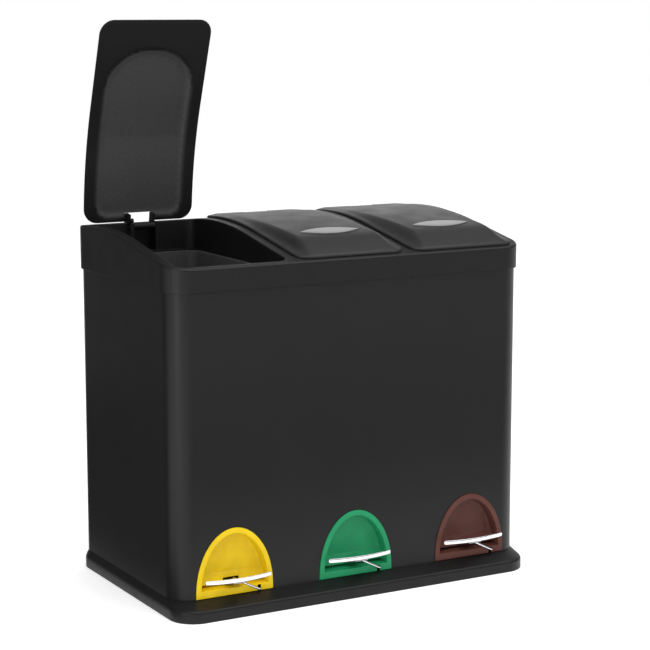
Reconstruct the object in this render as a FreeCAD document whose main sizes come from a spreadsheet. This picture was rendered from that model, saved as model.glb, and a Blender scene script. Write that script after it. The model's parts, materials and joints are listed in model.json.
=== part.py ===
"""Three-compartment indoor pedal bin: painted steel body, moulded collar and lids, pedals and liners.

Millimetres. +Z is up, the front faces -Y and +X is the right-hand side seen from the front.
The origin is on the floor under the middle of the steel body.  The left lid stands open
with its pedal down; the middle and right lids are closed.
"""
import FreeCAD, Part
import Sketcher
import math
import os
import re

from FreeCAD import Placement, Rotation, Vector

doc = FreeCAD.newDocument("pedal_bin")

# ---------------------------------------------------------------- driving dimensions
SIZES = {
    # steel body
    "body_width": 440.0,
    "body_depth": 260.0,
    "corner_radius": 26.0,
    "sheet_wall": 0.8,
    # plinth: a short upright face, then a top that slopes up to the body
    "foot_wall": 2.0,
    "foot_radius": 9.0,
    "foot_inset": 26.0,
    "plinth_face": 12.4,
    "body_bottom": 20.6,
    "plinth_side": 3.5,
    "plinth_front": 20.2,
    "plinth_floor": 2.5,
    "plinth_wall": 3.0,
    # collar: its top is a long arc that runs into a straight slope at the front
    "collar_bottom": 350.0,
    "collar_proud": 2.5,
    "collar_skin": 2.5,
    "crown_height": 403.0,
    "crown_setback": 72.0,
    "crown_radius": 450.0,
    "front_slope": 10.3,
    "side_rim": 12.5,
    "front_rim": 8.5,
    "back_rim": 20.0,
    "rib_width": 15.5,
    "opening_radius": 12.0,
    "opening_floor": 363.0,
    "ledge_depth": 13.5,
    "ledge_wall": 3.0,
    # lids
    "lid_lap": 3.2,
    "lid_front_lap": 1.6,
    "lid_back_gap": 0.8,
    "lid_corner": 16.5,
    "lid_wall": 2.4,
    "lid_gap": 0.4,
    "dish_half": 55.0,
    "dish_spring": 78.0,
    "dish_apex": 33.0,
    "dish_corner": 16.0,
    "dish_setback": 3.5,
    "plateau_height": 406.8,
    "plateau_setback": 85.0,
    "plateau_radius": 900.0,
    "plateau_half": 50.0,
    "plateau_foot": 60.0,
    "plateau_shoulder": 45.0,
    "badge_length": 74.0,
    "badge_width": 21.0,
    "badge_wall": 1.0,
    "badge_setback": 58.5,
    # hinge and its channel in the back of the collar
    "hinge_setback": 3.5,
    "hinge_drop": 8.7,
    "hinge_pin_radius": 2.0,
    "hub_radius": 4.0,
    "channel_half": 17.5,
    "channel_depth": 13.5,
    "ear_gap": 0.5,
    "ear_wall": 3.0,
    "crank_ear_wall": 4.0,
    "crank_reach": 12.0,
    "crank_tip_radius": 2.5,
    "crank_wall": 2.4,
    "notch_depth": 9.7,
    "ear_drop": 1.5,
    "ear_rise": 8.0,
    "lid_open_angle": 80.5,
    # push rods
    "rod_radius": 2.5,
    "rod_gap": 0.6,
    "guide_clearance": 0.4,
    # pedals and levers
    "pedal_pitch": 150.3,
    "lever_pin_radius": 2.5,
    "lever_pin_setback": 30.0,
    "lever_pin_height": 36.0,
    "lever_hub_radius": 5.0,
    "lever_hub_half": 32.0,
    "bearing_wall": 4.0,
    "running_clearance": 0.05,
    "side_clearance": 0.6,
    "neck_half": 8.0,
    "neck_bottom": 32.2,
    "neck_top": 35.2,
    "neck_rise": 14.0,
    "arm_half": 4.0,
    "arm_bottom": 27.0,
    "arm_top": 32.5,
    "arm_overrun": 6.5,
    "tread_half": 39.6,
    "tread_bow": 5.5,
    "tread_reach": 15.5,
    "tread_wall": 1.8,
    "tread_bottom": 41.2,
    "tread_top": 45.8,
    "brace_radius": 1.4,
    "brace_offset": 29.0,
    "brace_height": 24.6,
    # coloured pedal recesses in the front panel
    "recess_width": 92.0,
    "recess_straight": 5.0,
    "recess_arch": 68.5,
    "recess_rim": 6.0,
    "recess_sill": 8.0,
    "recess_proud": 1.5,
    "recess_depth": 15.0,
    "recess_skin": 1.8,
    "recess_plug": 3.2,
    "notch_half": 3.2,
    # inner deck and the lift-out liners that stand on it
    "deck_bottom": 51.0,
    "deck_wall": 3.0,
    "deck_front_gap": 20.0,
    "deck_leg": 3.0,
    "liner_gap": 1.5,
    "liner_wall": 2.0,
    "liner_flange": 7.0,
    "liner_top": 365.0,
    "liner_draft": 11.0,
    "liner_corner": 14.0,
    "liner_lift": 0.5,
}

sizes = doc.addObject("Spreadsheet::Sheet", "sizes")
for row, (alias, size) in enumerate(SIZES.items(), start=1):
    sizes.set(f"A{row}", alias)
    sizes.set(f"B{row}", str(size))
    sizes.setAlias(f"B{row}", alias)
doc.recompute()

# ---------------------------------------------------------------- places worked out from them
places = doc.addObject("App::VarSet", "places")


def formula(text):
    """Name the owner of every size and place in an expression."""
    def owner(match):
        word = match.group(0)
        if word in SIZES:
            return "sizes." + word
        if word in places.PropertiesList:
            return "places." + word
        return word
    return re.sub(r"[A-Za-z_][A-Za-z_0-9]*", owner, text)


def bind(thing, prop, text):
    thing.setExpression(prop, formula(text))


def derive(name, text):
    expression = formula(text)
    places.addProperty("App::PropertyFloat", name, "Places")
    places.setExpression(name, expression)


derive("half_width", "body_width / 2")
derive("half_depth", "body_depth / 2")
derive("collar_half_width", "half_width + collar_proud")
derive("collar_half_depth", "half_depth + collar_proud")
derive("collar_corner", "corner_radius + collar_proud")
derive("crown_y", "half_depth - crown_setback")
derive("crown_centre_z", "crown_height - crown_radius")
derive("opening_width", "(2 * collar_half_width - 2 * side_rim - 2 * rib_width) / 3")
derive("lid_pitch", "opening_width + rib_width")
derive("opening_front", "front_rim - collar_half_depth")
derive("opening_back", "collar_half_depth - back_rim")
derive("ledge_front", "opening_back - ledge_depth")
derive("lid_half", "opening_width / 2 + lid_lap")
derive("lid_front", "opening_front - lid_front_lap")
derive("lid_back", "opening_back - lid_back_gap")
derive("hinge_y", "opening_back + hinge_setback")
derive("hinge_z", "crown_height - hinge_drop")
derive("ear_outer", "channel_half - ear_gap")
derive("rod_offset", "crank_ear_wall / 2 - ear_outer")
derive("rod_travel", "2 * crank_reach * sin(lid_open_angle / 2 * 1deg)")
derive("rod_y", "hinge_y - crank_reach * (1 + cos(lid_open_angle / 2 * 1deg)) / 2")
derive("rod_top", "hinge_z - rod_travel / 2 - crank_tip_radius - rod_gap")
derive("rod_bottom", "arm_top + rod_gap")
derive("lever_pin_y", "lever_pin_setback - half_depth")
derive("lever_throw", "asin(rod_travel / (rod_y - lever_pin_y)) / 1deg")
derive("recess_bottom", "body_bottom")
derive("recess_front", "-half_depth - recess_proud")
derive("recess_back", "recess_depth - half_depth")
derive("tread_front", "-half_depth - tread_reach")
derive("tread_radius", "(tread_half ^ 2 + tread_bow ^ 2) / (2 * tread_bow)")
derive("deck_top", "deck_bottom + deck_wall")
derive("deck_front", "deck_front_gap - half_depth")
derive("liner_half", "opening_width / 2 - liner_gap")
derive("liner_front", "opening_front + liner_gap")
derive("liner_back", "ledge_front - liner_gap")
derive("liner_bottom", "deck_top + liner_lift")
derive("plateau_y", "half_depth - plateau_setback")
derive("badge_y", "badge_setback - half_depth")
doc.recompute()

SIDES = {"left": -1, "middle": 0, "right": 1}
subparts = []


def lid_x(side):
    return f"({SIDES[side]} * lid_pitch)"


def pedal_x(side):
    return f"({SIDES[side]} * pedal_pitch)"


# ---------------------------------------------------------------- building blocks
def block(name, x, y, z):
    """A box between (low, high) expressions along each axis."""
    box = doc.addObject("Part::Box", name)
    for side, axis, (low, high) in zip(("Length", "Width", "Height"), "xyz", (x, y, z)):
        bind(box, side, f"({high}) - ({low})")
        bind(box, "Placement.Base." + axis, low)
    return box


def bar(name, radius, x, y, z):
    """A round bar along X, between two X positions."""
    rod = doc.addObject("Part::Cylinder", name)
    rod.Placement = Placement(Vector(), Rotation(Vector(0, 1, 0), 90))
    bind(rod, "Radius", radius)
    bind(rod, "Height", f"({x[1]}) - ({x[0]})")
    for axis, place in zip("xyz", (x[0], y, z)):
        bind(rod, "Placement.Base." + axis, place)
    return rod


def post(name, radius, x, y, z):
    """A round bar along Z, between two heights."""
    rod = doc.addObject("Part::Cylinder", name)
    bind(rod, "Radius", radius)
    bind(rod, "Height", f"({z[1]}) - ({z[0]})")
    for axis, place in zip("xyz", (x, y, z[0])):
        bind(rod, "Placement.Base." + axis, place)
    return rod


def fuse(name, *pieces):
    whole = doc.addObject("Part::MultiFuse", name)
    whole.Shapes = list(pieces)
    return whole


def common(name, *pieces):
    whole = doc.addObject("Part::MultiCommon", name)
    whole.Shapes = list(pieces)
    return whole


def cut(name, base, *tools):
    """The base less every tool."""
    whole = doc.addObject("Part::Cut", name)
    whole.Base = base
    whole.Tool = tools[0] if len(tools) == 1 else fuse(name + "_tools", *tools)
    return whole


def outline(sketch, width, depth, radius):
    """A rounded rectangle centred on the sketch's origin, bound to three expressions."""
    half_w, half_d, corner = 60.0, 40.0, 10.0
    corners = [(1, -1), (1, 1), (-1, 1), (-1, -1)]
    for index, (sx, sy) in enumerate(corners):
        next_x, next_y = corners[(index + 1) % 4]
        start = Vector(sx * half_w, sy * (half_d - corner), 0)
        end = Vector(next_x * half_w, next_y * (half_d - corner), 0)
        if sx != next_x:
            start = Vector(sx * (half_w - corner), sy * half_d, 0)
            end = Vector(next_x * (half_w - corner), next_y * half_d, 0)
        sketch.addGeometry(Part.LineSegment(start, end))
    for index, (sx, sy) in enumerate(corners):
        centre = Vector(sx * (half_w - corner), sy * (half_d - corner), 0)
        circle = Part.Circle(centre, Vector(0, 0, 1), corner)
        first = math.radians(90 * index - 90)
        sketch.addGeometry(Part.ArcOfCircle(circle, first, first + math.pi / 2))
    for index in range(4):
        arc = 4 + index
        before = (index + 3) % 4
        sketch.addConstraint(Sketcher.Constraint("Tangent", before, 2, arc, 1))
        sketch.addConstraint(Sketcher.Constraint("Tangent", arc, 2, index, 1))
        if index:
            sketch.addConstraint(Sketcher.Constraint("Equal", 4, arc))
        level = "Vertical" if index % 2 == 0 else "Horizontal"
        sketch.addConstraint(Sketcher.Constraint(level, index))
    sketch.addConstraint(Sketcher.Constraint("Symmetric", 4, 3, 6, 3, -1, 1))
    for name, constraint, text in (
        ("width", Sketcher.Constraint("DistanceX", 2, 1, 0, 1, 2 * half_w), width),
        ("depth", Sketcher.Constraint("DistanceY", 3, 1, 1, 1, 2 * half_d), depth),
        ("radius", Sketcher.Constraint("Radius", 4, corner), radius),
    ):
        sketch.renameConstraint(sketch.addConstraint(constraint), name)
        bind(sketch, "Constraints." + name, text)


def slab(name, x, y, radius, z):
    """An upright prism with rounded corners, between two heights."""
    sketch = doc.addObject("Sketcher::SketchObject", name + "_outline")
    outline(sketch, f"({x[1]}) - ({x[0]})", f"({y[1]}) - ({y[0]})", radius)
    bind(sketch, "Placement.Base.x", f"(({x[0]}) + ({x[1]})) / 2")
    bind(sketch, "Placement.Base.y", f"(({y[0]}) + ({y[1]})) / 2")
    bind(sketch, "Placement.Base.z", z[0])
    prism = doc.addObject("Part::Extrusion", name)
    prism.Base = sketch
    prism.DirMode = "Custom"
    prism.Dir = Vector(0, 0, 1)
    prism.Solid = True
    bind(prism, "LengthFwd", f"({z[1]}) - ({z[0]})")
    return prism


def finish(label, thing):
    """Name a finished sub-part."""
    thing.Label = label
    subparts.append(thing)
    return thing


def swing(thing, angle, y, z):
    """Turn a sub-part about an axis along X through (y, z), raising its -Y side."""
    pivot = Vector(0, y, z)
    turn = Rotation(Vector(-1, 0, 0), angle)
    thing.Placement = Placement(pivot - turn.multVec(pivot), turn)


def under_crown(name, raise_by):
    """Everything below the collar's top line moved out by raise_by: an arc and its tangent."""
    reach = "(2 * body_depth)"
    width = "(2 * body_width)"
    drum = bar(name + "_arc", f"crown_radius + ({raise_by})", (f"-{width} / 2", f"{width} / 2"),
               "crown_y", "crown_centre_z")
    ramp = doc.addObject("Part::Box", name + "_slope")
    ramp.Placement = Placement(Vector(), Rotation(Vector(1, 0, 0), 10))
    bind(ramp, "Placement.Rotation.Angle", "front_slope * 1deg")
    bind(ramp, "Length", width)
    bind(ramp, "Width", reach)
    bind(ramp, "Height", f"crown_radius + ({raise_by})")
    bind(ramp, "Placement.Base.x", f"-{width} / 2")
    bind(ramp, "Placement.Base.y", f"crown_y - {reach} * cos(front_slope * 1deg)")
    bind(ramp, "Placement.Base.z", f"crown_centre_z - {reach} * sin(front_slope * 1deg)")
    return fuse(name, drum, ramp)


# ---------------------------------------------------------------- plinth, feet, shell and deck
def body_sketch(body, name, x, y, radius, z):
    """A rounded rectangle in a body, parallel to its own XY plane."""
    sketch = body.newObject("Sketcher::SketchObject", name)
    plane = [f for f in body.Origin.OriginFeatures if f.Role == "XY_Plane"][0]
    sketch.AttachmentSupport = [(plane, "")]
    sketch.MapMode = "FlatFace"
    outline(sketch, f"({x[1]}) - ({x[0]})", f"({y[1]}) - ({y[0]})", radius)
    bind(sketch, "AttachmentOffset.Base.x", f"(({x[0]}) + ({x[1]})) / 2")
    bind(sketch, "AttachmentOffset.Base.y", f"(({y[0]}) + ({y[1]})) / 2")
    bind(sketch, "AttachmentOffset.Base.z", z)
    return sketch


def pad(body, name, sketch, length):
    feature = body.newObject("PartDesign::Pad", name)
    feature.Profile = sketch
    bind(feature, "Length", length)
    return feature


def pocket(body, name, sketch, length, upwards):
    """Cut a sketch's outline out of the body, up from it or down from it."""
    feature = body.newObject("PartDesign::Pocket", name)
    feature.Profile = sketch
    feature.Reversed = upwards
    bind(feature, "Length", length)
    return feature


def loft(body, kind, name, first, last):
    feature = body.newObject("PartDesign::" + kind, name)
    feature.Profile = first
    feature.Sections = [last]
    feature.Ruled = True
    return feature


def plinth():
    body = doc.addObject("PartDesign::Body", "plinth_moulding")
    outer_x = ("-half_width - plinth_side", "half_width + plinth_side")
    outer_y = ("-half_depth - plinth_front", "half_depth + plinth_side")
    seat_x, seat_y = ("-half_width", "half_width"), ("-half_depth", "half_depth")
    well_x = ("plinth_wall - half_width", "half_width - plinth_wall")
    well_y = ("plinth_wall - half_depth", "half_depth - plinth_wall")
    radius = "corner_radius + plinth_side"
    foot = body_sketch(body, "plinth_foot", outer_x, outer_y, radius, "0")
    pad(body, "plinth_face_pad", foot, "plinth_face")
    rim = body_sketch(body, "plinth_rim", outer_x, outer_y, radius, "plinth_face")
    seat = body_sketch(body, "plinth_seat", seat_x, seat_y, "corner_radius", "body_bottom")
    loft(body, "AdditiveLoft", "plinth_slope", rim, seat)
    well = body_sketch(body, "plinth_well", well_x, well_y, "corner_radius - plinth_wall", "body_bottom")
    pocket(body, "plinth_hollow", well, "body_bottom - plinth_floor", False)
    bearings, bores = [], []
    ear_low = "lever_hub_half + side_clearance"
    ear_high = ear_low + " + bearing_wall"
    ear_y = ("lever_pin_y - lever_hub_radius - 1", "lever_pin_y + lever_hub_radius + 1")
    ear_z = ("plinth_floor - 1", "lever_pin_height + lever_hub_radius + 1")
    for side in SIDES:
        for hand, (low, high) in (("a", (f"-({ear_high})", f"-({ear_low})")), ("b", (ear_low, ear_high))):
            middle = pedal_x(side)
            bearings.append(block(f"bearing_{side}_{hand}", (f"{middle} + {low}", f"{middle} + {high}"),
                                  ear_y, ear_z))
        bores.append(bar(f"bearing_bore_{side}", "lever_pin_radius",
                         (f"{middle} - ({ear_high}) - 1", f"{middle} + ({ear_high}) + 1"),
                         "lever_pin_y", "lever_pin_height"))
    sockets = [foot_disc(f"foot_socket_{name}", x, y, ("0", "foot_wall")) for name, x, y in feet()]
    whole = fuse("plinth_with_bearings", body, *bearings)
    return finish("base_plinth", cut("plinth_bored", whole, *bores, *sockets))


def feet():
    """Name and place of each rubber foot."""
    x = "half_width + plinth_side - foot_inset"
    for hand, sx in (("left", -1), ("right", 1)):
        yield f"front_{hand}", f"{sx} * ({x})", "foot_inset - half_depth - plinth_front"
        yield f"back_{hand}", f"{sx} * ({x})", "half_depth + plinth_side - foot_inset"


def foot_disc(name, x, y, z):
    return post(name, "foot_radius", x, y, z)


def rubber_feet():
    discs = [foot_disc(f"foot_{name}", x, y, ("0", "foot_wall")) for name, x, y in feet()]
    group = doc.addObject("Part::Compound", "feet_group")
    group.Links = discs
    return finish("rubber_feet", group)


def arch(name, x, inset, sill, y):
    """A prism with a straight foot and a half-ellipse top, inset all round and sill up from its foot."""
    half = f"(recess_width / 2 - ({inset}))"
    spring = "(recess_bottom + recess_straight)"
    oval = doc.addObject("Part::Ellipse", name + "_oval")
    oval.Placement = Placement(Vector(), Rotation(Vector(0, 0, 1), Vector(1, 0, 0), Vector(0, 1, 0)))
    bind(oval, "MajorRadius", f"recess_arch - ({inset})")
    bind(oval, "MinorRadius", half)
    for axis, place in zip("xyz", (x, y[0], spring)):
        bind(oval, "Placement.Base." + axis, place)
    drum = doc.addObject("Part::Extrusion", name + "_drum")
    drum.Base = oval
    drum.DirMode = "Custom"
    drum.Dir = Vector(0, 1, 0)
    drum.Solid = True
    bind(drum, "LengthFwd", f"({y[1]}) - ({y[0]})")
    side = (f"{x} - {half}", f"{x} + {half}")
    crest = f"{spring} + recess_arch"
    if sizes.recess_straight <= sill:
        return common(name, drum, block(name + "_keep", side, y, (f"recess_bottom + {sill}", crest)))
    foot = block(name + "_foot", side, y, (f"recess_bottom + {sill}", spring))
    return fuse(name, common(name + "_head", drum, block(name + "_top", side, y, (spring, crest))), foot)


def shell():
    body = doc.addObject("PartDesign::Body", "shell_wrap")
    outer = body_sketch(body, "shell_outer", ("-half_width", "half_width"), ("-half_depth", "half_depth"),
                        "corner_radius", "body_bottom")
    pad(body, "shell_pad", outer, "opening_floor - body_bottom")
    inner = body_sketch(body, "shell_inner", ("sheet_wall - half_width", "half_width - sheet_wall"),
                        ("sheet_wall - half_depth", "half_depth - sheet_wall"),
                        "corner_radius - sheet_wall", "body_bottom")
    pocket(body, "shell_hollow", inner, "opening_floor - body_bottom", True)
    windows = [arch(f"shell_window_{side}", pedal_x(side), "recess_plug - 0.2", 0,
                    ("-half_depth - 1", "sheet_wall - half_depth + 1")) for side in SIDES]
    return finish("body_shell", cut("shell_windowed", body, *windows))


def deck():
    inset = "(sheet_wall + 0.2)"
    plate = slab("deck_plate", (f"{inset} - half_width", f"half_width - {inset}"),
                 ("deck_front", f"half_depth - {inset}"), f"corner_radius - {inset}",
                 ("deck_bottom", "deck_top"))
    floor = "plinth_floor"
    leg_y = ("deck_front + 8", "half_depth - 14")
    rows = ["pedal_pitch / 2 - deck_leg / 2", "half_width - 14"]
    legs = []
    for number, low in enumerate(rows):
        legs.append(block(f"deck_leg_right_{number}", (low, f"{low} + deck_leg"), leg_y,
                          (floor, "deck_bottom")))
        legs.append(block(f"deck_leg_left_{number}", (f"-({low}) - deck_leg", f"-({low})"), leg_y,
                          (floor, "deck_bottom")))
    holes = [post(f"deck_rod_hole_{side}", "rod_radius + guide_clearance", f"{lid_x(side)} + rod_offset",
                  "rod_y", ("deck_bottom - 1", "deck_top + 1")) for side in SIDES]
    return finish("inner_deck", cut("deck_drilled", fuse("deck_on_legs", plate, *legs), *holes))


# ---------------------------------------------------------------- collar
def openings(name, grow, z):
    """The three lid openings, each made larger all round by grow."""
    shafts = []
    for side in SIDES:
        middle = lid_x(side)
        half = f"(opening_width / 2 + {grow})"
        shafts.append(slab(f"{name}_{side}", (f"{middle} - {half}", f"{middle} + {half}"),
                           (f"opening_front - {grow}", f"opening_back + {grow}"),
                           f"opening_radius + {grow}", z))
        half = f"(channel_half + {grow})"
        shafts.append(block(f"{name}_channel_{side}", (f"{middle} - {half}", f"{middle} + {half}"),
                            ("opening_back - opening_radius", f"opening_back + channel_depth + {grow}"), z))
    return shafts


def collar():
    outer = slab("collar_outer", ("-collar_half_width", "collar_half_width"),
                 ("-collar_half_depth", "collar_half_depth"), "collar_corner",
                 ("collar_bottom", "crown_height + 5"))
    block_out = common("collar_block", outer, under_crown("collar_top", "0"))
    core_box = slab("collar_core_box", ("-half_width", "half_width"), ("-half_depth", "half_depth"),
                    "corner_radius", ("collar_bottom - 1", "crown_height + 5"))
    lowered = under_crown("collar_core_top", "-collar_skin")
    walls = openings("opening_wall", "collar_skin", ("opening_floor", "crown_height + 6"))
    core = cut("collar_core", common("collar_core_block", core_box, lowered), *walls)
    shafts = openings("opening", "0", ("collar_bottom - 2", "crown_height + 7"))
    hollow = cut("collar_hollow", cut("collar_cored", block_out, core), *shafts)
    ledges = []
    for side in SIDES:
        half = "(opening_width / 2 + collar_skin / 2)"
        ledges.append(block(f"ledge_{side}", (f"{lid_x(side)} - {half}", f"{lid_x(side)} + {half}"),
                            ("ledge_front", "opening_back + collar_skin / 2"),
                            ("opening_floor", "opening_floor + ledge_wall")))
    bores = []
    for side in SIDES:
        span = "(channel_half + collar_skin + 1)"
        bores.append(bar(f"pin_bore_{side}", "hinge_pin_radius",
                         (f"{lid_x(side)} - {span}", f"{lid_x(side)} + {span}"), "hinge_y", "hinge_z"))
        bores.append(post(f"ledge_hole_{side}", "rod_radius + guide_clearance",
                          f"{lid_x(side)} + rod_offset", "rod_y",
                          ("opening_floor - 1", "opening_floor + ledge_wall + 1")))
    return finish("top_collar", cut("collar_bored", fuse("collar_ledged", hollow, *ledges), *bores))


# ---------------------------------------------------------------- lids
def edge_height(y):
    """Height of the collar's top line at y."""
    tangent = places.crown_y - sizes.crown_radius * math.sin(math.radians(sizes.front_slope))
    across = y - places.crown_y
    if y >= tangent:
        return places.crown_centre_z + math.sqrt(sizes.crown_radius ** 2 - across ** 2)
    start = places.crown_centre_z + sizes.crown_radius * math.cos(math.radians(sizes.front_slope))
    return start - (tangent - y) * math.tan(math.radians(sizes.front_slope))


def lid_section(y, inset):
    """Closed outline of the lid across X at y; inset gives the hollow's outline."""
    edge = edge_height(y) + sizes.lid_gap + sizes.lid_wall - inset
    across = y - places.plateau_y
    crest = sizes.plateau_height - across ** 2 / (2 * sizes.plateau_radius) - inset
    ahead = (y - places.lid_front) / sizes.plateau_shoulder
    if ahead < 1:
        ahead = max(ahead, 0)
        blend = math.sin(ahead * math.pi / 2)
        crest = edge + (crest - edge) * blend
        narrow = 0.45 + 0.55 * math.sqrt(max(1 - (1 - ahead) ** 2, 0))
    else:
        narrow = 1
    crest = max(crest, edge + 0.05)
    outer = places.lid_half - (sizes.lid_wall if inset else 0)
    foot = (sizes.plateau_foot - inset / 2) * narrow
    top = (sizes.plateau_half - inset / 2) * narrow
    low = edge_height(y) - 40
    points = [(-outer, low), (-outer, edge), (-foot, edge), (-top, crest),
              (top, crest), (foot, edge), (outer, edge), (outer, low)]
    corners = [Vector(x, y, z) for x, z in points]
    return Part.makePolygon(corners + corners[:1])


def lid_block(name, inset):
    """The lid's top surface carried down as a block."""
    shelf = sizes.lid_wall if inset else 0
    first, last = places.lid_back - shelf, places.lid_front + shelf
    count = 13
    stations = [first + (last - first) * index / (count - 1) for index in range(count)]
    solid = Part.makeLoft([lid_section(y, inset) for y in stations], True, True)
    feature = doc.addObject("Part::Feature", name)
    feature.Shape = solid
    return feature


def lid(side):
    lap = ("-lid_half", "lid_half")
    plan = slab(f"lid_plan_{side}", lap, ("lid_front", "lid_back"), "lid_corner",
                ("opening_floor", "plateau_height + 5"))
    outside = common(f"lid_outside_{side}", lid_block(f"lid_top_{side}", 0), plan)
    below = under_crown(f"lid_below_{side}", "lid_gap")
    solid = cut(f"lid_solid_{side}", outside, below)
    heights = ("opening_floor - 1", "plateau_height + 4")
    dish_x = ("-dish_half", "dish_half")
    dish_back = slab(f"lid_dish_back_{side}", dish_x,
                     ("lid_front + dish_spring - dish_corner", "lid_back - dish_setback"),
                     "dish_corner", heights)
    oval = doc.addObject("Part::Ellipse", f"lid_dish_oval_{side}")
    bind(oval, "MajorRadius", "dish_half")
    bind(oval, "MinorRadius", "dish_spring - dish_apex")
    bind(oval, "Placement.Base.y", "lid_front + dish_spring")
    bind(oval, "Placement.Base.z", heights[0])
    dish_front = doc.addObject("Part::Extrusion", f"lid_dish_front_{side}")
    dish_front.Base = oval
    dish_front.DirMode = "Custom"
    dish_front.Dir = Vector(0, 0, 1)
    dish_front.Solid = True
    bind(dish_front, "LengthFwd", f"({heights[1]}) - ({heights[0]})")
    dish = fuse(f"lid_dish_{side}", dish_back, dish_front)
    hollow = common(f"lid_hollow_{side}", lid_block(f"lid_underside_{side}", sizes.lid_wall), dish)
    notch = block(f"lid_notch_{side}", ("-ear_outer", "ear_outer"),
                  ("lid_back - notch_depth", "lid_back + 5"), ("opening_floor", "plateau_height + 9"))
    whole = cut(f"lid_cut_{side}", solid, hollow, notch)
    return whole


def place_lid_piece(label, side, thing):
    """Move a lid piece from the middle bay to its own, open on the left."""
    doc.recompute()
    if side == "left":
        swing(thing, sizes.lid_open_angle, places.hinge_y, places.hinge_z)
    base = thing.Placement.Base
    turn = thing.Placement.Rotation
    thing.Placement = Placement(base + Vector(SIDES[side] * places.lid_pitch, 0, 0), turn)
    return finish(label, thing)


def badge(side):
    """A lens-shaped plate on the front of the lid's raised middle."""
    radius = "((badge_length ^ 2 + badge_width ^ 2) / (4 * badge_width))"
    span = ("crown_height - 40", "crown_height + 20")
    lens = common(f"badge_lens_{side}",
                  post(f"badge_front_{side}", radius, "0", f"badge_y + {radius} - badge_width / 2", span),
                  post(f"badge_back_{side}", radius, "0", f"badge_y - {radius} + badge_width / 2", span))
    raised = lid_block(f"badge_top_{side}", -sizes.badge_wall)
    inside = lid_block(f"badge_under_{side}", 0)
    return cut(f"badge_plate_{side}", common(f"badge_block_{side}", lens, raised), inside)


def hinge_bracket(side):
    """Two ears on a tubular hub, fixed in the lid's notch, with a crank finger on the left ear."""
    hub = bar(f"hub_{side}", "hub_radius", ("-ear_outer", "ear_outer"), "hinge_y", "hinge_z")
    ears = []
    for hand, low, high in (("a", "-ear_outer", "crank_ear_wall - ear_outer"),
                            ("b", "ear_outer - ear_wall", "ear_outer")):
        ears.append(block(f"ear_{side}_{hand}", (low, high), ("lid_back - notch_depth", "hinge_y"),
                          ("hinge_z - ear_drop", "hinge_z + ear_rise")))
    finger = doc.addObject("Part::Box", f"finger_{side}")
    finger.Placement = Placement(Vector(), Rotation(Vector(1, 0, 0), 40))
    bind(finger, "Placement.Rotation.Angle", "lid_open_angle / 2 * 1deg")
    bind(finger, "Length", "crank_ear_wall")
    bind(finger, "Width", "crank_reach")
    bind(finger, "Height", "crank_wall")
    tilt = "(lid_open_angle / 2 * 1deg)"
    bind(finger, "Placement.Base.x", "-ear_outer")
    bind(finger, "Placement.Base.y",
         f"hinge_y - crank_reach * cos{tilt} + crank_wall / 2 * sin{tilt}")
    bind(finger, "Placement.Base.z",
         f"hinge_z - crank_reach * sin{tilt} - crank_wall / 2 * cos{tilt}")
    tip = bar(f"finger_tip_{side}", "crank_tip_radius", ("-ear_outer", "crank_ear_wall - ear_outer"),
              f"hinge_y - crank_reach * cos{tilt}", f"hinge_z - crank_reach * sin{tilt}")
    solid = fuse(f"bracket_{side}", hub, *ears, finger, tip)
    bore = bar(f"bracket_bore_{side}", "hinge_pin_radius + running_clearance",
               ("-channel_half", "channel_half"), "hinge_y", "hinge_z")
    return cut(f"bracket_bored_{side}", solid, bore)


def hinge_pin(side):
    span = "(channel_half + collar_skin)"
    return finish(f"hinge_pin_{side}", bar(f"hinge_pin_bar_{side}", "hinge_pin_radius",
                                           (f"{lid_x(side)} - {span}", f"{lid_x(side)} + {span}"),
                                           "hinge_y", "hinge_z"))


# ---------------------------------------------------------------- push rods, levers, treads
def push_rod(side):
    rise = "rod_travel" if side == "left" else "0"
    return finish(f"push_rod_{side}", post(f"push_rod_bar_{side}", "rod_radius",
                                           f"{lid_x(side)} + rod_offset", "rod_y",
                                           (f"rod_bottom + {rise}", f"rod_top + {rise}")))


def place_lever_piece(label, side, thing):
    """Leave a pedal piece up, or press it down on the left."""
    doc.recompute()
    if side == "left":
        swing(thing, -places.lever_throw, places.lever_pin_y, sizes.lever_pin_height)
    return finish(label, thing)


def tread_ring(name, side, radius):
    return post(name, radius, pedal_x(side), "tread_front + tread_radius", ("tread_bottom", "tread_top"))


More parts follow.
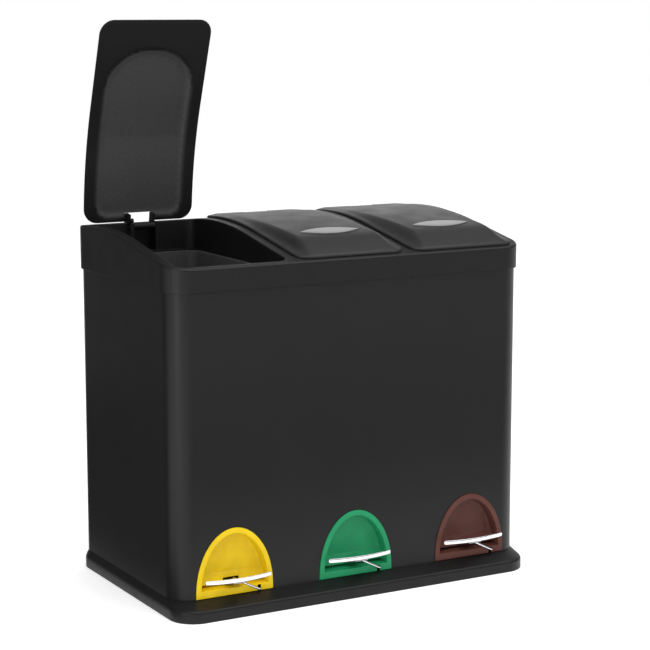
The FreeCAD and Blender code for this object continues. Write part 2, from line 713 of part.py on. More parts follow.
def lever(side):
    middle = pedal_x(side)
    hub_x = (f"{middle} - lever_hub_half", f"{middle} + lever_hub_half")
    hub = bar(f"lever_hub_{side}", "lever_hub_radius", hub_x, "lever_pin_y", "lever_pin_height")
    neck_box = doc.addObject("Part::Box", f"lever_neck_box_{side}")
    neck_box.Placement = Placement(Vector(), Rotation(Vector(-1, 0, 0), 8))
    bind(neck_box, "Placement.Rotation.Angle", "neck_rise * 1deg")
    bind(neck_box, "Length", "2 * neck_half")
    bind(neck_box, "Width", "lever_pin_setback + tread_reach + 16")
    bind(neck_box, "Height", "neck_top - neck_bottom")
    reach_y = "(recess_back - lever_pin_setback - tread_reach)"
    bind(neck_box, "Placement.Base.x", f"{middle} - neck_half")
    bind(neck_box, "Placement.Base.y", reach_y)
    bind(neck_box, "Placement.Base.z",
         f"neck_bottom + (recess_back - {reach_y}) * tan(neck_rise * 1deg)")
    back = block(f"lever_neck_keep_{side}", (f"{middle} - neck_half", f"{middle} + neck_half"),
                 ("tread_front", "lever_pin_y"), ("lever_pin_height - lever_hub_radius", "tread_top + 1"))
    root = block(f"lever_neck_root_{side}", (f"{middle} - neck_half", f"{middle} + neck_half"),
                 ("lever_pin_y - lever_hub_radius - 2", "lever_pin_y"),
                 ("lever_pin_height - lever_hub_radius", "lever_pin_height"))
    reach = post(f"lever_neck_end_{side}", "tread_radius - tread_wall", middle,
                 "tread_front + tread_radius", ("lever_pin_height - lever_hub_radius - 1", "tread_top + 2"))
    neck = common(f"lever_neck_{side}", neck_box, back, reach)
    arm = block(f"lever_arm_{side}", (f"{middle} - arm_half", f"{middle} + arm_half"),
                ("lever_pin_y", "rod_y + arm_overrun"), ("arm_bottom", "arm_top"))
    rod = f"{lid_x(side)} + rod_offset"
    foot = block(f"lever_foot_{side}", (f"min({rod} - 5; {middle} - arm_half)", f"{middle} + arm_half"),
                 ("rod_y - arm_overrun", "rod_y + arm_overrun"), ("arm_top - 2.5", "arm_top"))
    bore = bar(f"lever_bore_{side}", "lever_pin_radius + running_clearance",
               (f"{hub_x[0]} - 1", f"{hub_x[1]} + 1"), "lever_pin_y", "lever_pin_height")
    return cut(f"lever_bored_{side}", fuse(f"lever_solid_{side}", hub, neck, root, arm, foot), bore)


def lever_pin(side):
    span = "(lever_hub_half + side_clearance + bearing_wall)"
    middle = pedal_x(side)
    return finish(f"lever_pin_{side}", bar(f"lever_pin_bar_{side}", "lever_pin_radius",
                                           (f"{middle} - {span}", f"{middle} + {span}"),
                                           "lever_pin_y", "lever_pin_height"))


def tread(side):
    middle = pedal_x(side)
    ring = cut(f"tread_ring_{side}", tread_ring(f"tread_outer_{side}", side, "tread_radius"),
               tread_ring(f"tread_inner_{side}", side, "tread_radius - tread_wall"))
    keep = block(f"tread_keep_{side}", (f"{middle} - tread_half", f"{middle} + tread_half"),
                 ("tread_front - 1", "tread_front + tread_bow + 2"), ("tread_bottom", "tread_top"))
    return common(f"tread_strip_{side}", ring, keep)


def brace(side):
    """A wire from the lever's neck, through the sill's notch, to the lever's hub."""
    middle = SIDES[side] * sizes.pedal_pitch
    start = Vector(middle, places.recess_front - 3, 0)
    start.z = sizes.neck_bottom + (places.recess_back - start.y) * math.tan(math.radians(sizes.neck_rise)) + 0.8
    entry = Vector(middle + sizes.brace_offset, places.recess_front - 2.5, sizes.brace_height)
    inside = Vector(entry.x, places.recess_back + sizes.recess_skin + 2, sizes.brace_height)
    hub = Vector(entry.x, places.lever_pin_y, sizes.lever_pin_height)
    pieces = []
    for first, last in ((start, entry), (entry, inside), (inside, hub)):
        run = last - first
        pieces.append(Part.makeCylinder(sizes.brace_radius, run.Length, first, run))
    for bend in (start, entry, inside):
        pieces.append(Part.makeSphere(sizes.brace_radius, bend))
    wire = pieces[0].multiFuse(pieces[1:])
    drum = Part.makeCylinder(sizes.lever_hub_radius, 2 * sizes.lever_hub_half,
                             Vector(middle - sizes.lever_hub_half, places.lever_pin_y, sizes.lever_pin_height),
                             Vector(1, 0, 0))
    tilt = math.radians(sizes.neck_rise)
    neck = Part.makeBox(2 * sizes.neck_half, 60, (sizes.neck_top - sizes.neck_bottom))
    neck.translate(Vector(middle - sizes.neck_half, 0, 0))
    neck.rotate(Vector(), Vector(-1, 0, 0), sizes.neck_rise)
    lift = sizes.neck_bottom + (places.recess_back - start.y) * math.tan(tilt)
    neck.translate(Vector(0, start.y - 30 * math.cos(tilt), lift + 30 * math.sin(tilt)))
    feature = doc.addObject("Part::Feature", f"brace_wire_{side}")
    feature.Shape = wire.cut(drum).cut(neck)
    return feature


# ---------------------------------------------------------------- pedal recesses
def recess(side):
    middle = pedal_x(side)
    rim = arch(f"recess_rim_{side}", middle, "0", 0, ("recess_front", "-half_depth"))
    plug = arch(f"recess_plug_{side}", middle, "recess_plug", 0, ("-half_depth", "recess_back + recess_skin"))
    dish = arch(f"recess_dish_{side}", middle, "recess_rim", sizes.recess_sill, ("recess_front - 1", "recess_back"))
    slot = block(f"recess_slot_{side}", (f"{middle} - neck_half - 1.5", f"{middle} + neck_half + 1.5"),
                 ("recess_back - 1", "recess_back + recess_skin + 1"), ("neck_bottom - 3", "neck_top + 1.5"))
    wire = f"({middle} + brace_offset)"
    notch = block(f"recess_notch_{side}", (f"{wire} - notch_half", f"{wire} + notch_half"),
                  ("recess_front - 1", "recess_back + recess_skin + 1"),
                  ("recess_bottom - 1", "recess_bottom + recess_sill + 1"))
    return finish(f"pedal_recess_{side}", cut(f"recess_cut_{side}", fuse(f"recess_solid_{side}", rim, plug),
                                              dish, slot, notch))


# ---------------------------------------------------------------- liners
def liner(side):
    body = doc.addObject("PartDesign::Body", f"liner_body_{side}")
    middle = lid_x(side)

    def level(name, inset, back_inset, radius, z):
        return body_sketch(body, f"liner_{name}_{side}",
                           (f"{middle} - liner_half + {inset}", f"{middle} + liner_half - ({inset})"),
                           (f"liner_front + {inset}", f"liner_back - ({back_inset})"), radius, z)

    wall = "(liner_flange - liner_wall)"
    draft = f"({wall} + liner_draft)"
    top = level("top", wall, wall, "liner_corner - 2", "liner_top")
    foot = level("foot", draft, wall, "liner_corner - 2", "liner_bottom")
    loft(body, "AdditiveLoft", f"liner_cup_{side}", foot, top)
    flange = level("flange", "0", "0", "opening_radius", "liner_top - liner_wall")
    pad(body, f"liner_flange_{side}", flange, "liner_wall")
    inner_top = level("mouth", "liner_flange", "liner_flange", "liner_corner - 4", "liner_top")
    inner_foot = level("well", f"{draft} + liner_wall", "liner_flange", "liner_corner - 4",
                       "liner_bottom + liner_wall")
    loft(body, "SubtractiveLoft", f"liner_hollow_{side}", inner_foot, inner_top)
    return finish(f"liner_{side}", body)


# ---------------------------------------------------------------- the whole bin
plinth()
rubber_feet()
shell()
deck()
collar()
for side in SIDES:
    recess(side)
    liner(side)
    place_lid_piece(f"lid_{side}", side, lid(side))
    place_lid_piece(f"lid_badge_{side}", side, badge(side))
    place_lid_piece(f"lid_bracket_{side}", side, hinge_bracket(side))
    hinge_pin(side)
    push_rod(side)
    place_lever_piece(f"pedal_lever_{side}", side, lever(side))
    lever_pin(side)
    place_lever_piece(f"pedal_tread_{side}", side, tread(side))
    place_lever_piece(f"pedal_brace_{side}", side, brace(side))
doc.recompute()

for thing in doc.Objects:
    if "Invalid" in thing.State or "Error" in thing.State:
        raise RuntimeError(f"{thing.Label} did not build: {thing.State}")
for thing in subparts:
    if thing.Shape.isNull() or not thing.Shape.isValid() or not thing.Shape.Solids:
        raise RuntimeError(f"{thing.Label} has no valid solid")

os.makedirs("parts", exist_ok=True)
for thing in subparts:
    thing.Shape.exportStep(f"parts/{thing.Label}.step")
    box = thing.Shape.BoundBox
    print(f"{thing.Label:24s} solids {len(thing.Shape.Solids)} volume {thing.Shape.Volume:10.1f} "
          f"x {box.XMin:.1f}..{box.XMax:.1f} y {box.YMin:.1f}..{box.YMax:.1f} z {box.ZMin:.1f}..{box.ZMax:.1f}")
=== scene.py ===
"""Three-compartment pedal bin: its visible pieces, their finishes and the studio it stands in.

Metres. +Z is up, the pedals face -Y and +X is the right-hand side seen from the front.
"""
import json
import math

import bmesh
import bpy
from bpy.props import FloatProperty, FloatVectorProperty, PointerProperty
from mathutils import Matrix, Vector


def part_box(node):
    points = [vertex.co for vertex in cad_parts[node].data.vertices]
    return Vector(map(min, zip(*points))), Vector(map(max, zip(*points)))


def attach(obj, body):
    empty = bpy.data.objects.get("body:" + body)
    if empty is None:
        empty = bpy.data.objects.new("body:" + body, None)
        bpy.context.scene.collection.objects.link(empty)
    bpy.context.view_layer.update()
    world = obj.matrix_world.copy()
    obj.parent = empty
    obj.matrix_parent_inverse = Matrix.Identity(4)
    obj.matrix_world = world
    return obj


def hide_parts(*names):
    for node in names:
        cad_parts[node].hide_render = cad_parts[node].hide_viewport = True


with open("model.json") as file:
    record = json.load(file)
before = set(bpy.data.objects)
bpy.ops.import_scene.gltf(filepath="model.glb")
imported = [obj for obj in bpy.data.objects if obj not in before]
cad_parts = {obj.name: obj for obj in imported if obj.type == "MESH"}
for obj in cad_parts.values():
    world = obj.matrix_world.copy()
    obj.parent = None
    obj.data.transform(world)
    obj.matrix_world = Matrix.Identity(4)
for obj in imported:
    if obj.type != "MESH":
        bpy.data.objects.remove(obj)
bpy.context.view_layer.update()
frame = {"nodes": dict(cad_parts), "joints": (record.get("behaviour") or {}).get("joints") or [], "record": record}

bl_info = {
    "name": "Three-compartment pedal bin",
    "version": (1, 0, 0),
    "blender": (4, 5, 0),
    "location": "3D View > Sidebar > Pedal bin",
    "description": "Models the bin around its frame and gives every piece its finish",
    "category": "Object",
}

SIDES = ("left", "middle", "right")
JOINTS = {joint["name"]: joint for joint in frame["joints"]}
ROOT = "station"
OUTSIDE_ZONE, LIT_RING_ZONE = 0.4, 0.7      # places on the lid's colour scale; 0 is its margin, darkened as painted shade, 1 its dish, paler partly as painted light, and the ring between is the dish wall with a painted highlight

# Where the frame puts things
WRAP_LOW, WRAP_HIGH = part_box("body_shell")
COLLAR_LOW, COLLAR_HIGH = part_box("top_collar")
PLINTH_LOW, PLINTH_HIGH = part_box("base_plinth")
CLOSED_LOW, CLOSED_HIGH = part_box("lid_middle")
HINGE = Vector(JOINTS["lid_middle_hinge"]["pos_m"])
OPEN_ANGLE = math.radians(-JOINTS["lid_left_hinge"]["range_deg"][0])
PRESS_ANGLE = math.radians(-JOINTS["pedal_left_pivot"]["range_deg"][0])
LID_X = {side: JOINTS[f"lid_{side}_hinge"]["pos_m"][0] for side in SIDES}
PEDAL = {side: Vector(JOINTS[f"pedal_{side}_pivot"]["pos_m"]) for side in SIDES}


# ---------------------------------------------------------------- sizes and colours
def length(name, description, default):
    return FloatProperty(name=name, description=description, default=default, unit="LENGTH", precision=4)


def number(name, description, default):
    return FloatProperty(name=name, description=description, default=default)


def colour(name, description, default):
    return FloatVectorProperty(name=name, description=description, default=default, subtype="COLOR",
                               min=0, max=1)


class PedalBinBody(bpy.types.PropertyGroup):
    """Sizes of the steel wrap, the plinth and the collar"""
    wrap_corner: length("Wrap corner", "Radius of the steel wrap's upright corners", 0.026)
    sheet: length("Sheet", "Thickness of the steel sheet", 0.0008)
    plinth_face: length("Plinth face", "Height of the plinth's upright face", 0.0124)
    plinth_round: length("Plinth edge", "Rounding of the plinth's upper edge", 0.0022)
    plinth_wall: length("Plinth wall", "Thickness of the plinth's wall and floor", 0.003)
    crown_setback: length("Crown", "Distance of the collar's highest line from the back of the wrap", 0.072)
    crown_radius: length("Crown radius", "Radius of the collar's curved top", 0.45)
    front_slope: number("Front slope", "Slope of the collar's top at the front, in degrees", 10.3)
    collar_round: length("Collar edge", "Rounding of the collar's outer upper edge", 0.0026)
    lip_round: length("Opening edge", "Rounding of the edge of each lid opening", 0.0017)
    lip_skin: length("Collar skin", "Thickness of the collar outside the steel wrap", 0.0025)
    opening_corner: length("Opening corner", "Radius of the corners of each lid opening", 0.012)
    opening_gap: length("Liner gap", "Gap between an opening and the liner's rim", 0.0015)
    ledge_depth: length("Ledge", "Depth of the ledge at the back of each opening", 0.0135)
    ledge_top: length("Ledge top", "Height of the top of the ledge", 0.366)
    channel_half: length("Channel half width", "Half the width of the hinge channel", 0.0175)
    channel_depth: length("Channel depth", "Depth of the hinge channel behind the opening", 0.0135)


class PedalBinLid(bpy.types.PropertyGroup):
    """Sizes of the lids and their plates"""
    corner: length("Lid corner", "Radius of the lid's corners in plan", 0.0165)
    gap: length("Lid gap", "Gap between the lid and the collar under it", 0.0003)
    wall: length("Lid edge", "Thickness of the lid along its edge", 0.0026)
    edge_round: length("Edge rounding", "Rounding of the lid's upper edge", 0.0022)
    crest: length("Crest", "Height of the lid's raised middle at its highest line", 0.4068)
    crest_setback: length("Crest line", "Distance of the highest line from the back of the wrap", 0.085)
    crest_radius: length("Crest radius", "Radius of the raised middle from back to front", 0.9)
    crest_half: length("Crest half width", "Half the width of the raised middle's top", 0.049)
    flank_half: length("Flank half width", "Half the width of the raised middle's foot", 0.0625)
    shoulder: length("Shoulder", "Length over which the raised middle rolls down to the front edge", 0.046)
    dish_half: length("Dish half width", "Half the width of the dish in the underside", 0.055)
    dish_slope: length("Dish slope", "Width of the sloping wall round the dish", 0.009)
    dish_depth: length("Dish depth", "Depth of the dish in the underside", 0.0036)
    notch_half: length("Notch half width", "Half the width of the hinge notch", 0.017)
    notch_depth: length("Notch depth", "Depth of the hinge notch", 0.0097)
    badge_length: length("Plate length", "Length of the lens-shaped plate", 0.074)
    badge_width: length("Plate width", "Width of the lens-shaped plate", 0.0245)
    badge_rise: length("Plate rise", "How far the plate stands above the lid", 0.0013)


class PedalBinPedal(bpy.types.PropertyGroup):
    """Sizes of the coloured recesses, the treads and their wires"""
    rim: length("Rim", "Width of the recess's rim", 0.006)
    sill: length("Sill", "Height of the recess's sill", 0.008)
    foot: length("Straight foot", "Height of the recess's straight sides under its arch", 0.005)
    rim_round: length("Rim rounding", "Rounding of the rim's edges", 0.0009)
    depth: length("Recess depth", "Depth of the recess behind its rim", 0.0155)
    skin: length("Recess skin", "Wall thickness of the recess", 0.0015)
    tread_wall: length("Tread thickness", "Thickness of the chrome tread", 0.0018)
    wire_radius: length("Wire radius", "Radius of the chrome wire", 0.0014)


class PedalBinFinish(bpy.types.PropertyGroup):
    """Colours and gloss of the finishes"""
    plastic: colour("Black plastic", "Colour of the collar and the plinth", (0.0050, 0.0050, 0.0052))
    plastic_rough: number("Plastic roughness", "Roughness of the collar and the plinth", 0.43)
    # The liners are coloured far paler than the black plastic, as painted light standing for the light that falls
    # into the compartments.
    liner: colour("Liner plastic", "Colour of the liners", (0.045, 0.045, 0.046))
    lid_plastic: colour("Lid plastic", "Colour of the lids", (0.0150, 0.0150, 0.0155))
    lid_rough: number("Lid roughness", "Roughness of the lids", 0.42)
    paint: colour("Black paint", "Colour of the painted steel", (0.0056, 0.0056, 0.0059))
    paint_rough: number("Paint roughness", "Roughness of the painted steel", 0.38)
    yellow: colour("Yellow", "Colour of the left recess", (0.72, 0.50, 0.006))
    green: colour("Green", "Colour of the middle recess", (0.012, 0.25, 0.10))
    brown: colour("Brown", "Colour of the right recess", (0.096, 0.032, 0.024))
    chrome: colour("Chrome", "Colour of the treads and wires", (0.90, 0.90, 0.92))
    plate: colour("Brushed plate", "Colour of the plates on the lids", (0.44, 0.44, 0.445))


class PedalBinStudio(bpy.types.PropertyGroup):
    """Camera, floor and lights"""
    floor: colour("Floor", "Colour of the floor", (0.88, 0.88, 0.88))
    floor_glow: number("Floor glow", "How much the floor shines by itself, as lit paper does", 0.3)
    backdrop: number("Backdrop", "Brightness of the backdrop behind the object", 1.0)
    sky: number("Sky", "Strength of the even light all round", 0.85)
    gloss_sky: number("Reflected sky", "Strength of the even light seen in reflections", 0.34)
    overhead: number("Overhead light", "Power of the large light overhead, in watts", 34.0)
    rim: number("Rim light", "Power of the wide light behind the object, in watts", 9.0)
    mouth: number("Mouth light", "Power of the small light over the open compartment, in watts", 5.0)
    strip: number("Strip light", "Power of the tall light at the left, in watts", 14.0)
    flag: number("Flag", "Brightness of the dark panel seen only in reflections", 0.06)
    focal: number("Focal length", "Focal length of the camera, in millimetres", 108.09)


# ---------------------------------------------------------------- working with pieces
def deselect():
    if bpy.context.object and bpy.context.object.mode != "OBJECT":
        bpy.ops.object.mode_set(mode="OBJECT")
    bpy.ops.object.select_all(action="DESELECT")


def only(piece):
    """Select one piece and make it active."""
    deselect()
    piece.select_set(True)
    bpy.context.view_layer.objects.active = piece


def named(name):
    piece = bpy.context.object
    piece.name = piece.data.name = name
    return piece


def block(name, low, high):
    """A box between two corners."""
    low, high = Vector(low), Vector(high)
    deselect()
    bpy.ops.mesh.primitive_cube_add(size=1, location=(low + high) / 2, scale=high - low)
    bpy.ops.object.transform_apply(location=True, rotation=True, scale=True)
    return named(name)


def edit(piece, mode="EDGE"):
    only(piece)
    bpy.ops.object.mode_set(mode="EDIT")
    bpy.ops.mesh.select_mode(type=mode)
    bpy.ops.mesh.select_all(action="DESELECT")


def choose(piece, kind, test):
    """In edit mode, select the faces, edges or verts that pass a test, and nothing else."""
    bpy.ops.mesh.select_all(action="DESELECT")
    mesh = bmesh.from_edit_mesh(piece.data)
    found = 0
    for part in getattr(mesh, kind):
        if test(part):
            part.select_set(True)
            found += 1
    mesh.select_flush_mode()
    bmesh.update_edit_mesh(piece.data)
    if not found:
        raise RuntimeError(f"nothing to select on {piece.name}")
    return found


def done():
    bpy.ops.object.mode_set(mode="OBJECT")


def apply_modifier(piece, kind, **settings):
    only(piece)
    modifier = piece.modifiers.new(kind.title(), kind)
    for key, value in settings.items():
        setattr(modifier, key, value)
    bpy.ops.object.modifier_apply(modifier=modifier.name)


def carve(piece, cutter, operation="DIFFERENCE"):
    """Cut a tool out of a piece and throw the tool away."""
    apply_modifier(piece, "BOOLEAN", object=cutter, operation=operation, solver="EXACT")
    bpy.data.objects.remove(cutter)


def open_window(piece, low, high):
    """In edit mode, cut a shell along a box's sides and drop the faces inside it."""
    for axis in (0, 2):
        for level in (low[axis], high[axis]):
            bpy.ops.mesh.select_all(action="SELECT")
            bpy.ops.mesh.bisect(plane_co=(level,) * 3, plane_no=[int(axis == other) for other in range(3)])
    choose(piece, "faces", lambda face: all(
        least < at < most for least, at, most in zip(low, face.calc_center_median(), high)))
    bpy.ops.mesh.delete(type="FACE")


def upright(edge, low=-1e9, high=1e9):
    """Whether an edge stands upright between two heights."""
    first, last = (vert.co for vert in edge.verts)
    return (abs(first.x - last.x) + abs(first.y - last.y) < 1e-6 and abs(first.z - last.z) > 1e-6
            and min(first.z, last.z) > low and max(first.z, last.z) < high)


def rounded_block(name, low, high, radius, segments=10, test=None):
    """A box with rounded upright edges."""
    piece = block(name, low, high)
    edit(piece)
    choose(piece, "edges", lambda edge: upright(edge) and (test is None or test(edge)))
    bpy.ops.mesh.bevel(offset=radius, offset_type="OFFSET", segments=segments)
    done()
    return piece


def tidy_mesh(piece, angle=35, merge=1e-6, outward=True):
    """Merge doubles, turn faces outwards and shade smooth between sharp edges."""
    edit(piece, "VERT")
    bpy.ops.mesh.select_all(action="SELECT")
    bpy.ops.mesh.remove_doubles(threshold=merge)
    if outward:
        bpy.ops.mesh.normals_make_consistent(inside=False)
    done()
    bpy.ops.object.shade_smooth_by_angle(angle=math.radians(angle))


def even_shading(piece):
    apply_modifier(piece, "WEIGHTED_NORMAL", keep_sharp=True, weight=60)


def move_points(piece, place):
    for vert in piece.data.vertices:
        vert.co = place(vert.co.copy())
    piece.data.update()


def swing(piece, pivot, angle):
    """Turn a piece about an axis along X, raising its front, and fix its place in its mesh."""
    only(piece)
    turn = Matrix.Rotation(angle, 4, Vector((-1, 0, 0)))
    piece.matrix_world = Matrix.Translation(pivot) @ turn @ Matrix.Translation(-pivot)
    bpy.ops.object.transform_apply(location=True, rotation=True, scale=True)


def open_left(piece, side):
    """The left lid stands open at rest."""
    if side == "left":
        swing(piece, HINGE, OPEN_ANGLE)


def press_left(piece, side):
    """The left pedal is down at rest."""
    if side == "left":
        swing(piece, Vector((0, PEDAL[side].y, PEDAL[side].z)), -PRESS_ANGLE)


def join(pieces, name):
    deselect()
    for piece in pieces:
        piece.select_set(True)
    bpy.context.view_layer.objects.active = pieces[0]
    bpy.ops.object.join()
    return named(name)


def copy_of(piece, name, shift=(0, 0, 0)):
    """A copy with its own mesh, moved along."""
    twin = piece.copy()
    twin.data = piece.data.copy()
    twin.name = twin.data.name = name
    bpy.context.scene.collection.objects.link(twin)
    move_points(twin, lambda at: at + Vector(shift))
    return twin


def fit(piece, body, slot, finish, *nodes):
    """Give a piece its finish and its body, and hide the nodes it stands for."""
    piece.data.materials.clear()
    piece.data.materials.append(finish)
    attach(piece, body)
    if nodes:
        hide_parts(*nodes)


def ease(share):
    """Smooth rise from 0 to 1."""
    share = min(max(share, 0), 1)
    return share * share * (3 - 2 * share)


# ---------------------------------------------------------------- finishes
class Finish:
    """A material built up node by node around one Principled shader."""

    def __init__(self, name, base, roughness, metallic=0.0, specular=0.5):
        self.material = bpy.data.materials.new(name)
        self.material.use_nodes = True
        self.tree = self.material.node_tree
        self.shader = self.tree.nodes["Principled BSDF"]
        self.shader.inputs["Base Color"].default_value = (*base, 1)
        self.shader.inputs["Roughness"].default_value = roughness
        self.shader.inputs["Metallic"].default_value = metallic
        self.shader.inputs["Specular IOR Level"].default_value = specular
        self.place = self.tree.nodes.new("ShaderNodeTexCoord").outputs["Object"]
        self.base = base
        self.normal = None

    def link(self, source, target):
        self.tree.links.new(source, target)

    def stretched(self, scale):
        node = self.tree.nodes.new("ShaderNodeMapping")
        node.inputs["Scale"].default_value = scale
        self.link(self.place, node.inputs["Vector"])
        return node.outputs["Vector"]

    def noise(self, scale, detail=2.0, roughness=0.5, place=None):
        node = self.tree.nodes.new("ShaderNodeTexNoise")
        node.inputs["Scale"].default_value = scale
        node.inputs["Detail"].default_value = detail
        node.inputs["Roughness"].default_value = roughness
        self.link(place or self.place, node.inputs["Vector"])
        return node.outputs["Fac"]

    def cells(self, scale, place=None):
        node = self.tree.nodes.new("ShaderNodeTexVoronoi")
        node.inputs["Scale"].default_value = scale
        self.link(place or self.place, node.inputs["Vector"])
        return node.outputs["Distance"]

    def spread(self, source, low, high, start=0.3, end=0.7):
        """Map a pattern's values to a range of numbers."""
        node = self.tree.nodes.new("ShaderNodeMapRange")
        for key, value in (("From Min", start), ("From Max", end), ("To Min", low), ("To Max", high)):
            node.inputs[key].default_value = value
        self.link(source, node.inputs["Value"])
        return node.outputs["Result"]

    def tint(self, source, darker, lighter, start=0.3, end=0.7):
        """Vary the base colour between a darker and a lighter share of itself."""
        node = self.tree.nodes.new("ShaderNodeValToRGB")
        low, high = node.color_ramp.elements
        low.position, high.position = start, end
        low.color = (*(part * darker for part in self.base), 1)
        high.color = (*(min(part * lighter, 1) for part in self.base), 1)
        self.link(source, node.inputs["Fac"])
        self.link(node.outputs["Color"], self.shader.inputs["Base Color"])

    def rough(self, source, low, high, start=0.3, end=0.7):
        self.link(self.spread(source, low, high, start, end), self.shader.inputs["Roughness"])

    def bump(self, source, strength, distance):
        node = self.tree.nodes.new("ShaderNodeBump")
        node.inputs["Strength"].default_value = strength
        node.inputs["Distance"].default_value = distance
        self.link(source, node.inputs["Height"])
        if self.normal:
            self.link(self.normal, node.inputs["Normal"])
        self.normal = node.outputs["Normal"]
        self.link(self.normal, self.shader.inputs["Normal"])


def mould_marks(finish, roughness):
    """Uneven gloss, faint waves and a fine spark-eroded grain."""
    finish.rough(finish.noise(38, detail=3), roughness - 0.04, roughness + 0.05)
    finish.bump(finish.noise(30, detail=1), 0.10, 0.0004)
    finish.bump(finish.noise(1100, detail=3, roughness=0.65), 0.35, 0.00012)
    return finish.material


def moulded_black(name, base, roughness):
    """Black plastic with a mottled surface."""
    finish = Finish(name, base, roughness, specular=0.3)
    finish.tint(finish.noise(420, detail=4, roughness=0.7), 0.72, 1.35)
    return mould_marks(finish, roughness)


def lid_plastic(name, base, roughness):
    """The black plastic of a lid: painted shade darkens the margin of its underside, the dish is paler partly as
    coarser-grained plastic and partly as painted light, and the dish wall carries a painted highlight.
    """
    finish = Finish(name, base, roughness, specular=0.3)
    zone = finish.tree.nodes.new("ShaderNodeAttribute")
    zone.attribute_name = "zone"
    shades = []
    # Each ramp runs from the margin in painted shade through the plain outside colour to the dish wall's painted
    # highlight and the dish floor, paler partly as painted light.
    for margin, outside, ring, floor in ((0.14, 0.75, 1.9, 1.9), (0.26, 1.25, 3.6, 2.7)):
        ramp = finish.tree.nodes.new("ShaderNodeValToRGB")
        stops = ramp.color_ramp.elements
        stops[0].position, stops[1].position = 0.0, 1.0
        stops[0].color = (*(part * margin for part in base), 1)
        stops[1].color = (*(part * floor for part in base), 1)
        for position, share in ((OUTSIDE_ZONE, outside), (LIT_RING_ZONE, ring)):
            stops.new(position).color = (*(part * share for part in base), 1)
        finish.link(zone.outputs["Fac"], ramp.inputs["Fac"])
        shades.append(ramp.outputs["Color"])
    mix = finish.tree.nodes.new("ShaderNodeMix")
    mix.data_type = "RGBA"
    finish.link(finish.spread(finish.noise(420, detail=4, roughness=0.7), 0, 1), mix.inputs["Factor"])
    finish.link(shades[0], mix.inputs[6])
    finish.link(shades[1], mix.inputs[7])
    finish.link(mix.outputs[2], finish.shader.inputs["Base Color"])
    return mould_marks(finish, roughness)


def powder_coat(name, base, roughness):
    """Satin black coating over steel sheet, with a faint orange peel."""
    finish = Finish(name, base, roughness, specular=0.3)
    finish.tint(finish.noise(700, detail=3, roughness=0.6), 0.8, 1.25)
    finish.rough(finish.noise(16, detail=3), roughness - 0.03, roughness + 0.04)
    finish.bump(finish.noise(520, detail=2), 0.12, 0.00008)
    return finish.material


def moulded_colour(name, base):
    """Satin coloured plastic with slight mottling and a soft coat."""
    finish = Finish(name, base, 0.45, specular=0.2)
    finish.shader.inputs["Subsurface Weight"].default_value = 0.04
    finish.shader.inputs["Subsurface Radius"].default_value = (0.002, 0.0015, 0.001)
    finish.tint(finish.noise(55, detail=4, roughness=0.6), 0.90, 1.06)
    finish.rough(finish.noise(140, detail=3), 0.34, 0.46)
    finish.bump(finish.noise(900, detail=3), 0.16, 0.00008)
    return finish.material


def polished_chrome(name, base):
    """Mirror chrome with hairlines from polishing."""
    finish = Finish(name, base, 0.07, metallic=1.0)
    lines = finish.noise(1, detail=3, place=finish.stretched((60, 1500, 1500)))
    finish.rough(lines, 0.05, 0.11)
    finish.tint(finish.noise(240, detail=2), 0.96, 1.0)
    finish.bump(finish.noise(160, detail=1), 0.03, 0.0001)
    return finish.material


def brushed_plate(name, base):
    """Metal brushed along its length."""
    finish = Finish(name, base, 0.42, metallic=0.7)
    lines = finish.noise(1, detail=3, roughness=0.6, place=finish.stretched((30, 1900, 1900)))
    finish.tint(lines, 0.92, 1.05)
    finish.rough(lines, 0.36, 0.48)
    finish.bump(lines, 0.12, 0.00004)
    return finish.material


def plated_steel(name, base, roughness):
    """Dull zinc with crystal spangle and a fine grain."""
    finish = Finish(name, base, roughness, metallic=0.9)
    spangle = finish.cells(330)
    finish.tint(spangle, 0.75, 1.15, 0.1, 0.7)
    finish.rough(finish.noise(180, detail=3), roughness - 0.08, roughness + 0.1)
    finish.bump(finish.noise(700, detail=2), 0.15, 0.00006)
    return finish.material


def soft_rubber(name):
    finish = Finish(name, (0.018, 0.018, 0.018), 0.75)
    finish.tint(finish.noise(300, detail=4), 0.7, 1.3)
    finish.bump(finish.noise(1200, detail=3), 0.4, 0.0001)
    return finish.material


FINISHES = {}


def finish_for(slot):
    """The material of one of the record's slots, made when it is first asked for."""
    if slot not in FINISHES:
        look = bpy.context.scene.pedal_bin_finish
        make = {
            "black_plastic": lambda: moulded_black("moulded_black", look.plastic, look.plastic_rough),
            "lid_plastic": lambda: lid_plastic("lid_plastic", look.lid_plastic, look.lid_rough),
            "painted_steel": lambda: powder_coat("powder_coat", look.paint, look.paint_rough),
            # The liners' paler colour is painted light inside the compartments.
            "liner_plastic": lambda: moulded_black("liner_black", look.liner, 0.5),
            "yellow_plastic": lambda: moulded_colour("moulded_yellow", look.yellow),
            "green_plastic": lambda: moulded_colour("moulded_green", look.green),
            "brown_plastic": lambda: moulded_colour("moulded_brown", look.brown),
            "chrome": lambda: polished_chrome("polished_chrome", look.chrome),
            "zinc_steel": lambda: plated_steel("zinc_plate", (0.33, 0.33, 0.34), 0.42),
            "black_steel": lambda: powder_coat("black_steel", (0.004, 0.004, 0.0042), 0.6),
            "brushed_metal": lambda: brushed_plate("brushed_plate", look.plate),
            "rubber": lambda: soft_rubber("foot_rubber"),
        }
        FINISHES[slot] = make[slot]()
    return FINISHES[slot]


